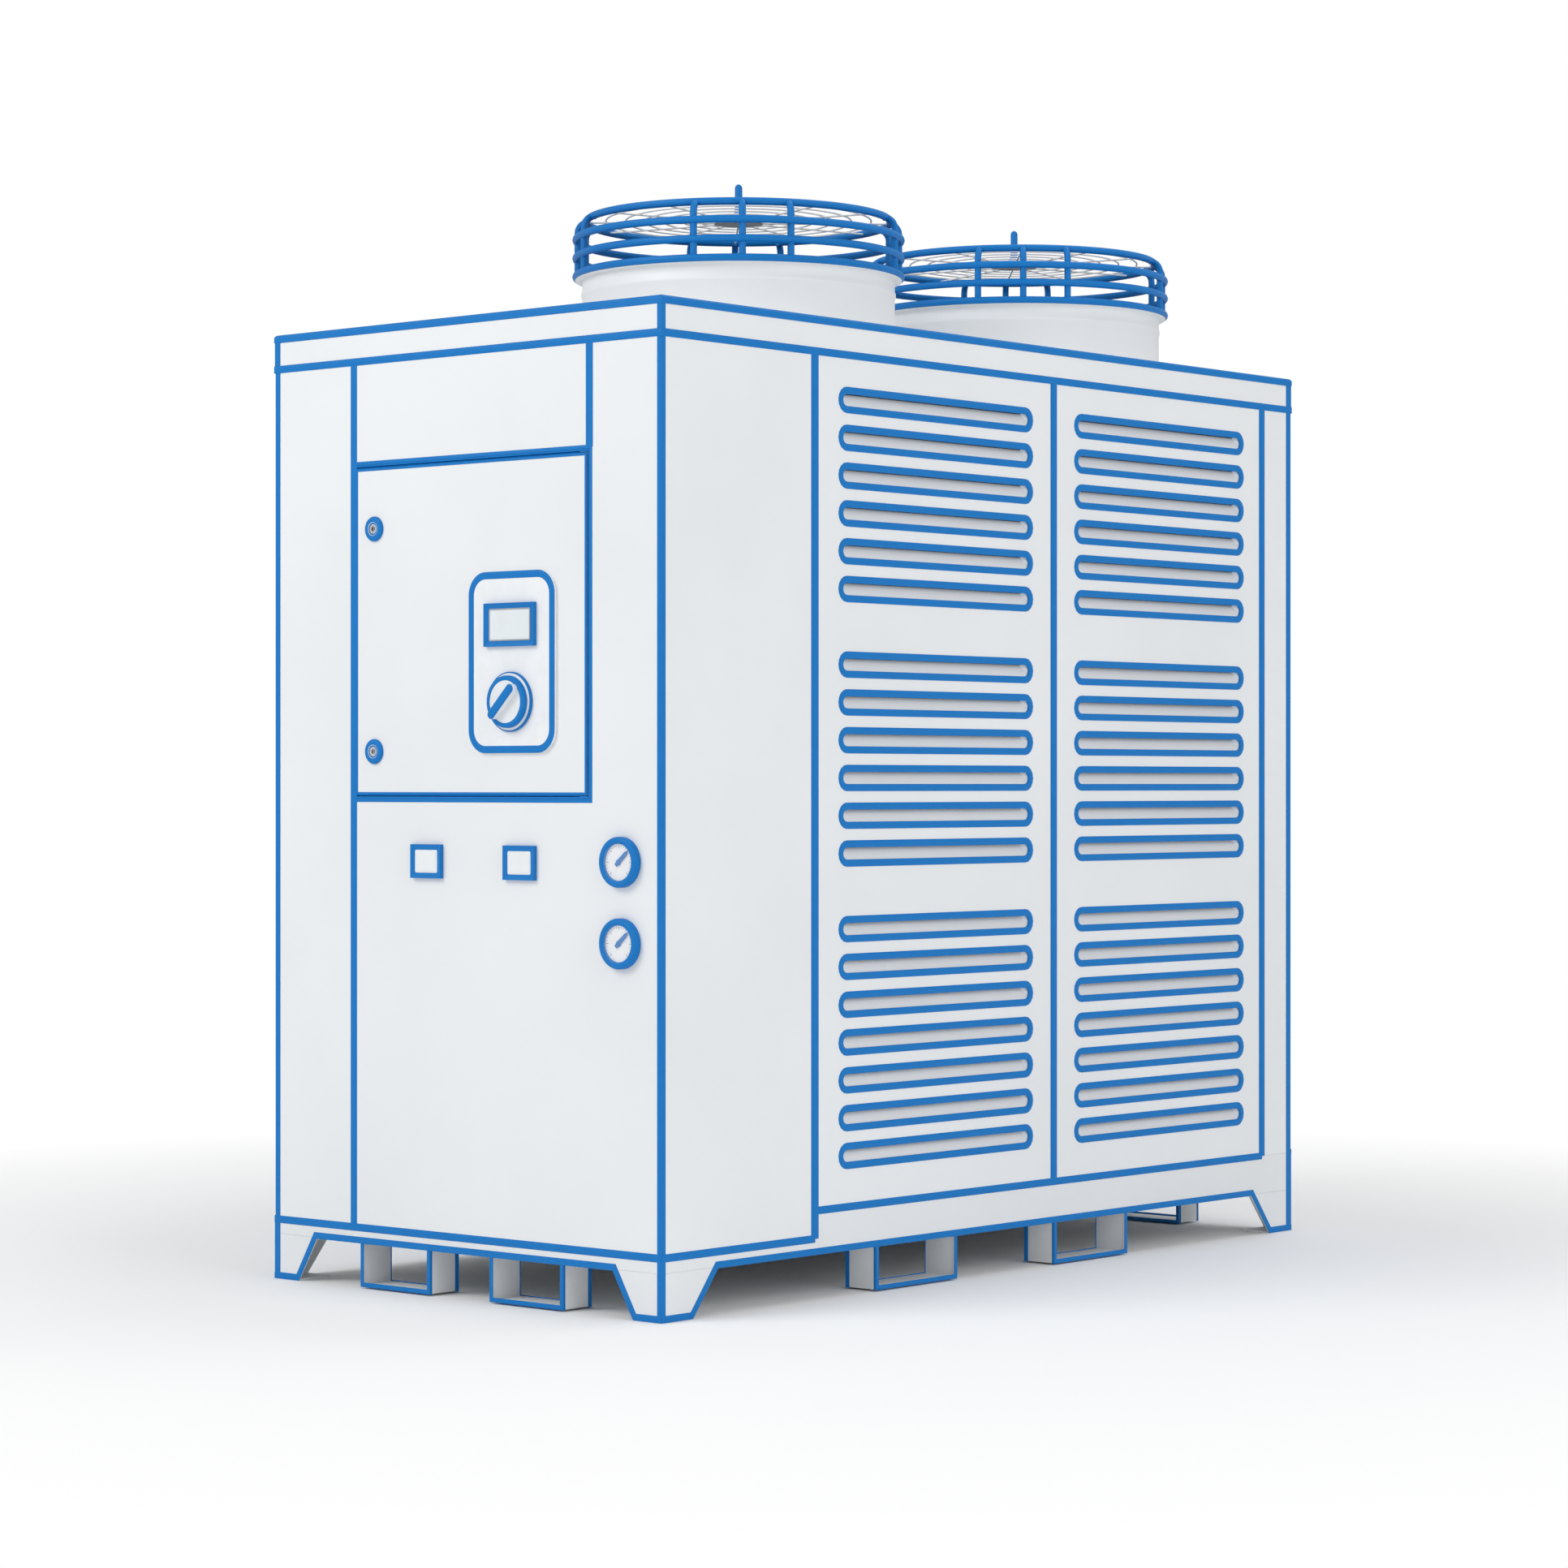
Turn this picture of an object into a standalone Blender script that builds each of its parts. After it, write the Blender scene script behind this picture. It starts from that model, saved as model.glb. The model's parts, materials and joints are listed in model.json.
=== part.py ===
"""Process water chiller: a packaged air-cooled unit in a folded sheet cabinet.

Metres, +Z up. The front with the electrical door looks towards -Y, the right
side towards +X. The origin is the middle of the footprint, on the floor.
"""

import math

import bmesh
import bpy
from mathutils import Matrix, Vector

# Fits
SEAT_GAP = 0.0003
PIN_GAP = 0.0005
MOVING_GAP = 0.006

# Cabinet
BODY_WIDTH = 1.060
BODY_LENGTH = 2.080
LEG_HEIGHT = 0.0915
RAIL_HEIGHT = 0.0285
SILL_RISE = 0.054
PANEL_HEIGHT = 1.714
CAP_HEIGHT = 0.066

# Sheet work
SHEET = 0.002
PANEL_DEPTH = 0.026
EDGE_RADIUS = 0.004
EDGE_SEGMENTS = 2
CAP_RADIUS = 0.014
CAP_SEGMENTS = 3
CAP_LIP = 0.022

# Base frame and feet
RAIL_PLATE = 0.003
RAIL_DEPTH = 0.060
PAN_PLATE = 0.003
FOOT_PLATE = 0.004
FOOT_FRONT_TOP = 0.122
FOOT_FRONT_BOTTOM = 0.070
FOOT_SIDE_TOP = 0.155
FOOT_SIDE_BOTTOM = 0.085

# Fork sleeves under the rails
SLEEVE_PLATE = 0.004
SLEEVE_DEPTH = 0.0775
SLEEVE_CLEAR_OF_FLOOR = 0.004
SLEEVE_INTO_RAIL = 0.001
FRONT_SLEEVE_WIDTH = 0.195
FRONT_SLEEVE_OFFSET = 0.180
SIDE_SLEEVE_WIDTH = 0.255
SIDE_SLEEVE_OFFSET = 0.290

# Front face
LEFT_STRIP_WIDTH = 0.232
RIGHT_STRIP_WIDTH = 0.184
DOOR_BAY_HEIGHT = 0.658
HEADER_HEIGHT = 0.206
DOOR_DEPTH = 0.018

# Electrical enclosure behind the door
ENCLOSURE_DEPTH = 0.205
ENCLOSURE_OUTSIDE = 0.006
LIP_OUTWARD = 0.014
LIP_INWARD = 0.014
PIVOT_FROM_EDGE = 0.010
PIVOT_FROM_FACE = 0.005
PIVOT_WIDTH = 0.020

# Switchgear on its mounting plate
GEAR_PLATE_MARGIN = 0.025
GEAR_PLATE_THICKNESS = 0.003
GEAR_PLATE_STAND_OFF = 0.010
GEAR_RAIL_HEIGHT = 0.035
GEAR_RAIL_DEPTH = 0.0075
DUCT_HEIGHT = 0.040
DUCT_DEPTH = 0.050
DEVICE_DEPTH = 0.070
DEVICE_ROWS = (
    {"width": 0.054, "height": 0.105, "count": 5, "gap": 0.0065},
    {"width": 0.075, "height": 0.085, "count": 4, "gap": 0.009},
    {"width": 0.252, "height": 0.090, "count": 1, "gap": 0.0},
)

# Control plate, display and main switch
CONTROL_PLATE_WIDTH = 0.230
CONTROL_PLATE_HEIGHT = 0.348
CONTROL_PLATE_RADIUS = 0.045
CONTROL_PLATE_THICKNESS = 0.006
CONTROL_FROM_DOOR_EDGE = 0.194
CONTROL_ABOVE_DOOR_EDGE = 0.255
DISPLAY_WIDTH = 0.134
DISPLAY_HEIGHT = 0.083
DISPLAY_THICKNESS = 0.008
DISPLAY_FRAME = 0.009
DISPLAY_SINK = 0.004
DISPLAY_RISE = 0.0715
SWITCH_DROP = 0.076
SWITCH_RADIUS = 0.0575
SWITCH_ROSETTE_THICKNESS = 0.007
KNOB_RADIUS = 0.047
KNOB_THICKNESS = 0.010
SWITCH_STEPS = 24
GRIP_LENGTH = 0.094
GRIP_WIDTH = 0.018
GRIP_HEIGHT = 0.0205
GRIP_TURN_DEG = 45

# Quarter-turn locks
LOCK_FROM_DOOR_EDGE = 0.054
LOCK_UPPER_BELOW_DOOR_TOP = 0.121
LOCK_LOWER_ABOVE_DOOR_BOTTOM = 0.086
LOCK_RING_RADIUS = 0.0205
LOCK_RING_THICKNESS = 0.006
LOCK_RING_EDGE = 0.002
LOCK_STEPS = 12
LOCK_CORE_RADIUS = 0.0120
LOCK_CORE_PROUD = 0.0045
KEY_RECESS_RADIUS = 0.0050
KEY_RECESS_DEPTH = 0.006
CAM_LENGTH = 0.052
CAM_WIDTH = 0.016
CAM_THICKNESS = 0.003

# Pilot lamps
LAMP_WIDTH = 0.083
LAMP_HEIGHT = 0.066
LAMP_PROUD = 0.009
LAMP_FRAME = 0.010
LAMP_SINK = 0.003
LAMP_BODY_DEPTH = 0.030
LAMP_BELOW_DOOR = 0.1225
LAMP_SPACING = 0.2535
LAMP_PAIR_FROM_BAY_MIDDLE = 0.01575

# Pressure gauges
GAUGE_RADIUS = 0.0475
GAUGE_BODY_RADIUS = 0.0400
GAUGE_BODY_DEPTH = 0.032
GAUGE_PROUD = 0.016
GAUGE_BEZEL = 0.013
GAUGE_DIAL_SINK = 0.007
GAUGE_FROM_SIDE = 0.0996
GAUGE_BELOW_DOOR = 0.118
GAUGE_SPACING = 0.152
GAUGE_STEPS = 18
NEEDLE_LENGTH = 0.032
NEEDLE_WIDTH = 0.006
NEEDLE_THICKNESS = 0.002
NEEDLE_TURN_DEG = 42

# Sides
FRONT_SECTION_LENGTH = 0.437
REAR_POST_LENGTH = 0.116

# Louvre slots
SLOT_END_MARGIN = 0.07775
SLOT_HEIGHT = 0.0375
SLOT_PITCH = 0.07365
SLOT_TOP_MARGIN = 0.069
SLOT_GROUPS = (6, 6, 7)
SLOT_SEGMENTS = 3
SCOOP_DEPTH = 0.014
SCOOP_OPEN = 0.007

# Condenser coils and bulkhead
COIL_FROM_RAIL = 0.004
COIL_THICKNESS = 0.080
COIL_CORE_SINK = 0.008
COIL_FRAME = 0.030
COIL_END_GAP = 0.030
COIL_TOP_GAP = 0.020
BULKHEAD_PLATE = 0.003
BULKHEAD_FROM_RAIL = 0.004

# Water ports on the rear
PORT_RADIUS = 0.030
PORT_COLLAR_RADIUS = 0.048
PORT_COLLAR_THICKNESS = 0.006
PORT_PLUG_RADIUS = 0.036
PORT_PLUG_LENGTH = 0.018
PORT_PLUG_EDGE = 0.003
PORT_TAIL = 0.040
PORT_SPACING = 0.240
PORT_HEIGHT = 0.330
PORT_STEPS = 16

# Fans
FAN_FROM_FRONT = 0.797
FAN_SPACING = 0.938
FAN_ROW_SHIFT = 0.015
SHROUD_RADIUS = 0.325
SHROUD_PLATE = 0.003
SHROUD_HEIGHT = 0.1447
SHROUD_FOOT = 0.005
SHROUD_BELL = 0.009
SHROUD_RIM = 0.016
SHROUD_STEPS = 28
FAN_TIP_GAP = 0.008
HUB_RADIUS = 0.085
HUB_HEIGHT = 0.080
HUB_ABOVE_ROOF = 0.056
BLADES = 5
BLADE_THICKNESS = 0.0035
BLADE_ROOT_CHORD = 0.150
BLADE_TIP_CHORD = 0.190
BLADE_ROOT_PITCH_DEG = 33
BLADE_TIP_PITCH_DEG = 17
BLADE_SWEEP_DEG = 24
BLADE_CAMBER = 0.012
BLADE_ROOT_SINK = 0.008
MOTOR_RADIUS = 0.065
MOTOR_BODY_HEIGHT = 0.048
MOTOR_SPINDLE_RADIUS = 0.022
MOTOR_UNDER_HUB = 0.008
STRUTS = 4
STRUT_WIDTH = 0.026
STRUT_HEIGHT = 0.012
STRUT_ABOVE_ROOF = 0.024

# Fan guards
WIRE = 0.005
GUARD_RADIUS = 0.338
GUARD_RING_PITCH = 0.0385
GUARD_SIDE_RINGS = 3
GUARD_SHOULDER = 0.023
GUARD_GROUPS = 4
GUARD_GROUP_TURN_DEG = -50
GUARD_BARS = (-17, 0, 17)
RING_SEGMENTS = 24
WIRE_SIDES = 4
GRILLE_RING_RADII = (0.235, 0.155)
GRILLE_SPOKES = 8
GRILLE_TURN_DEG = 7.5
GRILLE_HUB_RADIUS = 0.052
GRILLE_HUB_THICKNESS = 0.006
GRILLE_HUB_STEPS = 16
STUD_RADIUS = 0.008
STUD_HEIGHT = 0.080

# Levels and faces that follow from the sizes above
RAIL_TOP = LEG_HEIGHT + RAIL_HEIGHT
SILL_TOP = RAIL_TOP + SILL_RISE
PANEL_TOP = RAIL_TOP + PANEL_HEIGHT
ROOF_TOP = PANEL_TOP + CAP_HEIGHT
DOOR_BAY_TOP = PANEL_TOP - HEADER_HEIGHT
DOOR_BAY_BOTTOM = DOOR_BAY_TOP - DOOR_BAY_HEIGHT
HALF_WIDTH = BODY_WIDTH / 2
HALF_LENGTH = BODY_LENGTH / 2
BAY_RIGHT = HALF_WIDTH - RIGHT_STRIP_WIDTH
BAY_LEFT = LEFT_STRIP_WIDTH - HALF_WIDTH
LAP_INSET = SHEET + SEAT_GAP
LIP_FACE = -HALF_LENGTH + PANEL_DEPTH + SEAT_GAP
LOUVRE_PANEL_LENGTH = (BODY_LENGTH - FRONT_SECTION_LENGTH - REAR_POST_LENGTH) / 2
SLOT_LENGTH = LOUVRE_PANEL_LENGTH - 2 * SLOT_END_MARGIN
PAN_TOP = LEG_HEIGHT + RAIL_PLATE + SEAT_GAP + PAN_PLATE
CONTROL_X = BAY_RIGHT - MOVING_GAP - CONTROL_FROM_DOOR_EDGE
CONTROL_Z = DOOR_BAY_BOTTOM + MOVING_GAP + CONTROL_ABOVE_DOOR_EDGE
SWITCH_FACE = 3 * SEAT_GAP + CONTROL_PLATE_THICKNESS + SWITCH_ROSETTE_THICKNESS
HANDLE_REACH = SWITCH_FACE + KNOB_THICKNESS + GRIP_HEIGHT
PIVOT_X = BAY_RIGHT - MOVING_GAP - PIVOT_FROM_EDGE
PIVOT_Y = -HALF_LENGTH + PIVOT_FROM_FACE

# Turns that bring a piece modelled for the front to another side
FRONT, RIGHT, REAR, LEFT = 0.0, math.pi / 2, math.pi, -math.pi / 2


def clear_scene():
    for obj in list(bpy.data.objects):
        bpy.data.objects.remove(obj, do_unlink=True)


def new_collection(name):
    collection = bpy.data.collections.new(name)
    bpy.context.scene.collection.children.link(collection)
    return collection


clear_scene()
PARTS = new_collection("process_water_chiller")
HELPERS = new_collection("cutters")


def finish(name, colour, roughness, metallic=0.0):
    material = bpy.data.materials.new(name)
    material.use_nodes = True
    material.diffuse_color = (*colour, 1.0)
    shader = material.node_tree.nodes["Principled BSDF"]
    shader.inputs["Base Color"].default_value = (*colour, 1.0)
    shader.inputs["Roughness"].default_value = roughness
    shader.inputs["Metallic"].default_value = metallic
    return material


PANEL_WHITE = finish("panel_white", (0.86, 0.88, 0.90), 0.42)
BASE_GREY = finish("base_grey", (0.70, 0.73, 0.76), 0.50)
TRIM_BLUE = finish("trim_blue", (0.02, 0.20, 0.52), 0.35)
ZINC = finish("zinc", (0.62, 0.64, 0.66), 0.40, 1.0)
DARK = finish("dark_plastic", (0.05, 0.06, 0.07), 0.55)
FIN_METAL = finish("fin_metal", (0.70, 0.72, 0.74), 0.35, 1.0)
PALE_PLASTIC = finish("pale_plastic", (0.80, 0.84, 0.88), 0.30)


# Making and joining shapes


def add(name, mesh, material, at=(0, 0, 0), turn=(0, 0, 0), collection=PARTS):
    obj = bpy.data.objects.new(name, mesh)
    collection.objects.link(obj)
    obj.location = at
    obj.rotation_euler = turn
    if material:
        mesh.materials.append(material)
    if collection is not PARTS:
        obj.hide_render = True
        obj.display_type = "WIRE"
    return obj


def mesh_of(bm, name, smooth_angle_deg=None):
    mesh = bpy.data.meshes.new(name)
    bm.to_mesh(mesh)
    bm.free()
    if smooth_angle_deg:
        mesh.shade_smooth()
        mesh.set_sharp_from_angle(angle=math.radians(smooth_angle_deg))
    return mesh


def block(low, high):
    """A box from its lowest to its highest corner."""
    bm = bmesh.new()
    bmesh.ops.create_cube(bm, size=1.0)
    low, high = Vector(low), Vector(high)
    bmesh.ops.scale(bm, vec=high - low, verts=bm.verts)
    bmesh.ops.translate(bm, vec=(low + high) / 2, verts=bm.verts)
    return bm


def box(name, low, high, material, collection=PARTS, at=(0, 0, 0), turn=(0, 0, 0)):
    return add(name, mesh_of(block(low, high), name), material, at, turn, collection)


def face_towards(bm, direction):
    """The largest face that looks in this direction."""
    direction = Vector(direction)
    facing = [face for face in bm.faces if face.normal.dot(direction) > 0.99]
    return max(facing, key=lambda face: face.calc_area())


def look_away(bm, inside):
    """Turns every face of an open shell to look away from a point inside it."""
    bm.normal_update()
    inside = Vector(inside)
    wrong = [f for f in bm.faces if f.normal.dot(f.calc_center_median() - inside) < 0]
    bmesh.ops.reverse_faces(bm, faces=wrong)


def solidify(obj, thickness, even=True):
    """Thickens a shell away from the side its faces look to."""
    shell = obj.modifiers.new("sheet", "SOLIDIFY")
    shell.thickness = thickness
    shell.offset = -1.0
    shell.use_even_offset = even


def cut(target, *cutters):
    for cutter in cutters:
        boolean = target.modifiers.new("cut_" + cutter.name, "BOOLEAN")
        boolean.operation = "DIFFERENCE"
        boolean.object = cutter


def fuse(target, *others, solver="EXACT"):
    for other in others:
        boolean = target.modifiers.new("join_" + other.name, "BOOLEAN")
        boolean.operation = "UNION"
        boolean.solver = solver
        boolean.object = other


def turned(name, profile, material, steps=24, ring=False, at=(0, 0, 0), turn=(0, 0, 0), collection=PARTS):
    """A solid of revolution about local Z.

    The profile is (radius, height) points down the outer side. A ring's
    profile is closed. The others start and end on the axis.
    """
    mesh = bpy.data.meshes.new(name)
    count = len(profile)
    edges = [(i, i + 1) for i in range(count - 1)]
    if ring:
        edges.append((count - 1, 0))
    mesh.from_pydata([(radius, 0, height) for radius, height in profile], edges, [])
    obj = add(name, mesh, material, at, turn, collection)
    screw = obj.modifiers.new("turn", "SCREW")
    screw.axis = "Z"
    screw.angle = math.tau
    screw.steps = steps
    screw.render_steps = steps
    screw.use_merge_vertices = True
    screw.merge_threshold = 0.00005
    screw.use_smooth_shade = False
    return obj


def as_mesh(obj):
    """Replaces a curve or a turned object by its evaluated mesh, with its caps welded."""
    graph = bpy.context.evaluated_depsgraph_get()
    mesh = bpy.data.meshes.new_from_object(obj.evaluated_get(graph))
    bm = bmesh.new()
    bm.from_mesh(mesh)
    bmesh.ops.remove_doubles(bm, verts=bm.verts, dist=0.000005)
    bmesh.ops.recalc_face_normals(bm, faces=bm.faces)
    bm.to_mesh(mesh)
    bm.free()
    name, collection, matrix = obj.name, obj.users_collection[0], obj.matrix_basis.copy()
    bpy.data.objects.remove(obj, do_unlink=True)
    made = add(name, mesh, None, collection=collection)
    made.matrix_world = matrix
    return made


def wire(name, points, radius=WIRE, collection=HELPERS, resolution=0):
    """A straight-sided rod through these points."""
    curve = bpy.data.curves.new(name, "CURVE")
    curve.dimensions = "3D"
    curve.bevel_depth = radius
    curve.bevel_resolution = resolution
    curve.use_fill_caps = True
    spline = curve.splines.new("POLY")
    spline.points.add(len(points) - 1)
    for spot, point in zip(spline.points, points):
        spot.co = (*point, 1.0)
    obj = bpy.data.objects.new(name, curve)
    collection.objects.link(obj)
    return as_mesh(obj)


def arc(centre_x, centre_z, radius, start_deg, end_deg, segments):
    """Points on an arc, both ends included."""
    step = (end_deg - start_deg) / segments
    angles = [math.radians(start_deg + step * i) for i in range(segments + 1)]
    return [
        (centre_x + radius * math.cos(angle), centre_z + radius * math.sin(angle))
        for angle in angles
    ]


def circle(x, z, radius, segments=20):
    return arc(x, z, radius, 0, 360, segments)[:-1]


def rectangle(x0, z0, x1, z1):
    return [(x0, z0), (x1, z0), (x1, z1), (x0, z1)]


def rounded_rectangle(width, height, radius, segments=5):
    """Anticlockwise, about the middle."""
    x, z = width / 2 - radius, height / 2 - radius
    return (
        arc(x, z, radius, 0, 90, segments)
        + arc(-x, z, radius, 90, 180, segments)
        + arc(-x, -z, radius, 180, 270, segments)
        + arc(x, -z, radius, 270, 360, segments)
    )


def slot_outline(x, z):
    """An obround hole, from the top left round its lower side to the top right."""
    end = SLOT_HEIGHT / 2
    reach = SLOT_LENGTH / 2 - end
    return arc(x - reach, z, end, 90, 270, SLOT_SEGMENTS) + arc(
        x + reach, z, end, -90, 90, SLOT_SEGMENTS
    )


def loop_of(bm, points):
    """A closed loop of edges in the plane y = 0."""
    verts = [bm.verts.new((x, 0, z)) for x, z in points]
    return verts, [bm.edges.new((verts[i - 1], verts[i])) for i in range(len(verts))]


def scoop(bm, verts):
    """A louvre pressed inwards from a slot's lower side and ends, open along its top."""
    count = len(verts)
    left, right = verts[0].co, verts[-1].co
    lip_left = bm.verts.new((left.x, SCOOP_DEPTH, left.z - SCOOP_OPEN))
    lip_right = bm.verts.new((right.x, SCOOP_DEPTH, right.z - SCOOP_OPEN))
    middle = count // 2
    for i in range(middle - 1):
        bm.faces.new((verts[i], verts[i + 1], lip_left))
    bm.faces.new((verts[middle - 1], verts[middle], lip_right, lip_left))
    for i in range(middle, count - 1):
        bm.faces.new((verts[i], verts[i + 1], lip_right))


def sheet_panel(
    name, outline, at, turn, material=PANEL_WHITE, folds=None, depth=PANEL_DEPTH,
    radius=EDGE_RADIUS, plate=SHEET, holes=(), slots=(), collection=PARTS,
):
    """A folded sheet whose face lies in the local plane y = 0 and looks to -Y.

    The outline runs anticlockwise seen from outside. folds says for each of
    its sides whether the sheet folds back there. Slots get louvre scoops.
    """
    bm = bmesh.new()
    face = bm.faces.new([bm.verts.new((x, 0, z)) for x, z in outline])
    folds = folds or (True,) * len(outline)
    folded = [loop.edge for loop, fold in zip(face.loops, folds) if fold]
    made = bmesh.ops.extrude_edge_only(bm, edges=folded)
    back = [item for item in made["geom"] if isinstance(item, bmesh.types.BMVert)]
    bmesh.ops.translate(bm, vec=(0, depth, 0), verts=back)
    if radius:
        bmesh.ops.bevel(
            bm, geom=folded, offset=radius, segments=EDGE_SEGMENTS, profile=0.5, affect="EDGES"
        )
    if holes or slots:
        bm.normal_update()
        face = face_towards(bm, (0, -1, 0))
        edges = list(face.edges)
        bmesh.ops.delete(bm, geom=[face], context="FACES_ONLY")
        loops = [loop_of(bm, hole) for hole in (*holes, *slots)]
        for _, loop_edges in loops:
            edges += loop_edges
        bmesh.ops.triangle_fill(bm, use_beauty=True, edges=edges, normal=(0, -1, 0))
        for verts, _ in loops[len(holes):]:
            scoop(bm, verts)
    bmesh.ops.recalc_face_normals(bm, faces=bm.faces)
    if sum(f.normal.y * f.calc_area() for f in bm.faces) > 0:
        bmesh.ops.reverse_faces(bm, faces=bm.faces)
    obj = add(name, mesh_of(bm, name, 25), material, at, (0, 0, turn), collection)
    solidify(obj, plate, even=not slots)
    return obj


def flat_plate(name, outline, thickness, material, at, collection=PARTS):
    """An upright plate whose back lies in the local plane y = 0, growing towards -Y."""
    curve = bpy.data.curves.new(name, "CURVE")
    curve.dimensions = "2D"
    curve.fill_mode = "BOTH"
    curve.extrude = thickness / 2
    spline = curve.splines.new("POLY")
    spline.points.add(len(outline) - 1)
    for spot, (x, z) in zip(spline.points, outline):
        spot.co = (x, z, 0, 1)
    spline.use_cyclic_u = True
    obj = bpy.data.objects.new(name, curve)
    collection.objects.link(obj)
    obj.location = Vector(at) + Vector((0, -thickness / 2, 0))
    obj.rotation_euler = (math.pi / 2, 0, 0)
    plate = as_mesh(obj)
    if material:
        plate.data.materials.append(material)
    if collection is not PARTS:
        plate.hide_render = True
        plate.display_type = "WIRE"
    return plate


# Base frame, feet and floor pan


def fork_sleeve(name, width, along):
    """A short square tube under a rail, open at both ends, in the rail's local frame."""
    bm = block(
        (along - width / 2, 0, SLEEVE_CLEAR_OF_FLOOR - LEG_HEIGHT),
        (along + width / 2, SLEEVE_DEPTH, SLEEVE_INTO_RAIL),
    )
    bm.normal_update()
    ends = [face_towards(bm, (0, -1, 0)), face_towards(bm, (0, 1, 0))]
    bmesh.ops.delete(bm, geom=ends, context="FACES_ONLY")
    return mesh_of(bm, name)


def base_rail(name, outline, folds, at, turn, sleeve_width, sleeve_offset):
    """A folded channel that is open to the inside, with two fork sleeves under it."""
    rail = sheet_panel(
        name, outline, at, turn, BASE_GREY, folds, RAIL_DEPTH, radius=0, plate=RAIL_PLATE
    )
    for side, along in (("a", -sleeve_offset), ("b", sleeve_offset)):
        mesh = fork_sleeve(name + "_sleeve_" + side, sleeve_width, along)
        sleeve = add(mesh.name, mesh, None, at, (0, 0, turn), HELPERS)
        solidify(sleeve, SLEEVE_PLATE)
        fuse(rail, sleeve)


def base_rails():
    all_round = (True, True, True, True)
    across = rectangle(-HALF_WIDTH, 0, HALF_WIDTH, RAIL_HEIGHT)
    base_rail(
        "base_rail_front", across, all_round, (0, -HALF_LENGTH, LEG_HEIGHT), FRONT,
        FRONT_SLEEVE_WIDTH, FRONT_SLEEVE_OFFSET,
    )
    rear = rectangle(-HALF_WIDTH, 0, HALF_WIDTH, RAIL_HEIGHT + SILL_RISE)
    base_rail(
        "base_rail_rear", rear, all_round, (0, HALF_LENGTH, LEG_HEIGHT), REAR,
        FRONT_SLEEVE_WIDTH, FRONT_SLEEVE_OFFSET,
    )
    reach = HALF_LENGTH - RAIL_DEPTH - SEAT_GAP
    step = -HALF_LENGTH + FRONT_SECTION_LENGTH
    high = RAIL_HEIGHT + SILL_RISE
    right = [(-reach, 0), (reach, 0), (reach, high), (step, high), (step, RAIL_HEIGHT), (-reach, RAIL_HEIGHT)]
    left = [(-x, z) for x, z in reversed(right)]
    base_rail(
        "base_rail_right", right, (True, False, True, True, True, False),
        (HALF_WIDTH, 0, LEG_HEIGHT), RIGHT, SIDE_SLEEVE_WIDTH, SIDE_SLEEVE_OFFSET,
    )
    base_rail(
        "base_rail_left", left, (True, True, True, False, True, False),
        (-HALF_WIDTH, 0, LEG_HEIGHT), LEFT, SIDE_SLEEVE_WIDTH, SIDE_SLEEVE_OFFSET,
    )


def foot(name, side_x, side_y):
    """A folded corner foot: two tapered outer plates, a top plate and a sole."""
    top = LEG_HEIGHT - SEAT_GAP
    bm = block((0, 0, 0), (1, 1, top))
    for vert in bm.verts:
        upper = vert.co.z > top / 2
        across = FOOT_FRONT_TOP if upper else FOOT_FRONT_BOTTOM
        along = FOOT_SIDE_TOP if upper else FOOT_SIDE_BOTTOM
        vert.co.x = side_x * (HALF_WIDTH - vert.co.x * across)
        vert.co.y = side_y * (HALF_LENGTH - vert.co.y * along)
    inside = (
        side_x * (HALF_WIDTH - FOOT_FRONT_BOTTOM / 2),
        side_y * (HALF_LENGTH - FOOT_SIDE_BOTTOM / 2),
        top / 2,
    )
    look_away(bm, inside)
    inner = [f for f in bm.faces if f.normal.x * side_x < -0.5 or f.normal.y * side_y < -0.5]
    bmesh.ops.delete(bm, geom=inner, context="FACES")
    obj = add(name, mesh_of(bm, name), BASE_GREY)
    solidify(obj, FOOT_PLATE)


def feet():
    for end, side_y in (("front", -1), ("rear", 1)):
        for side, side_x in (("left", -1), ("right", 1)):
            foot(f"foot_{end}_{side}", side_x, side_y)


def floor_pan():
    """The pan lies on the rails' lower flanges, inside their webs."""
    inset = RAIL_PLATE + SEAT_GAP
    bottom = LEG_HEIGHT + RAIL_PLATE + SEAT_GAP
    x, y = HALF_WIDTH - inset, HALF_LENGTH - inset
    box("floor_pan", (-x, -y, bottom), (x, y, bottom + PAN_PLATE), ZINC)


# Front face


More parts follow.
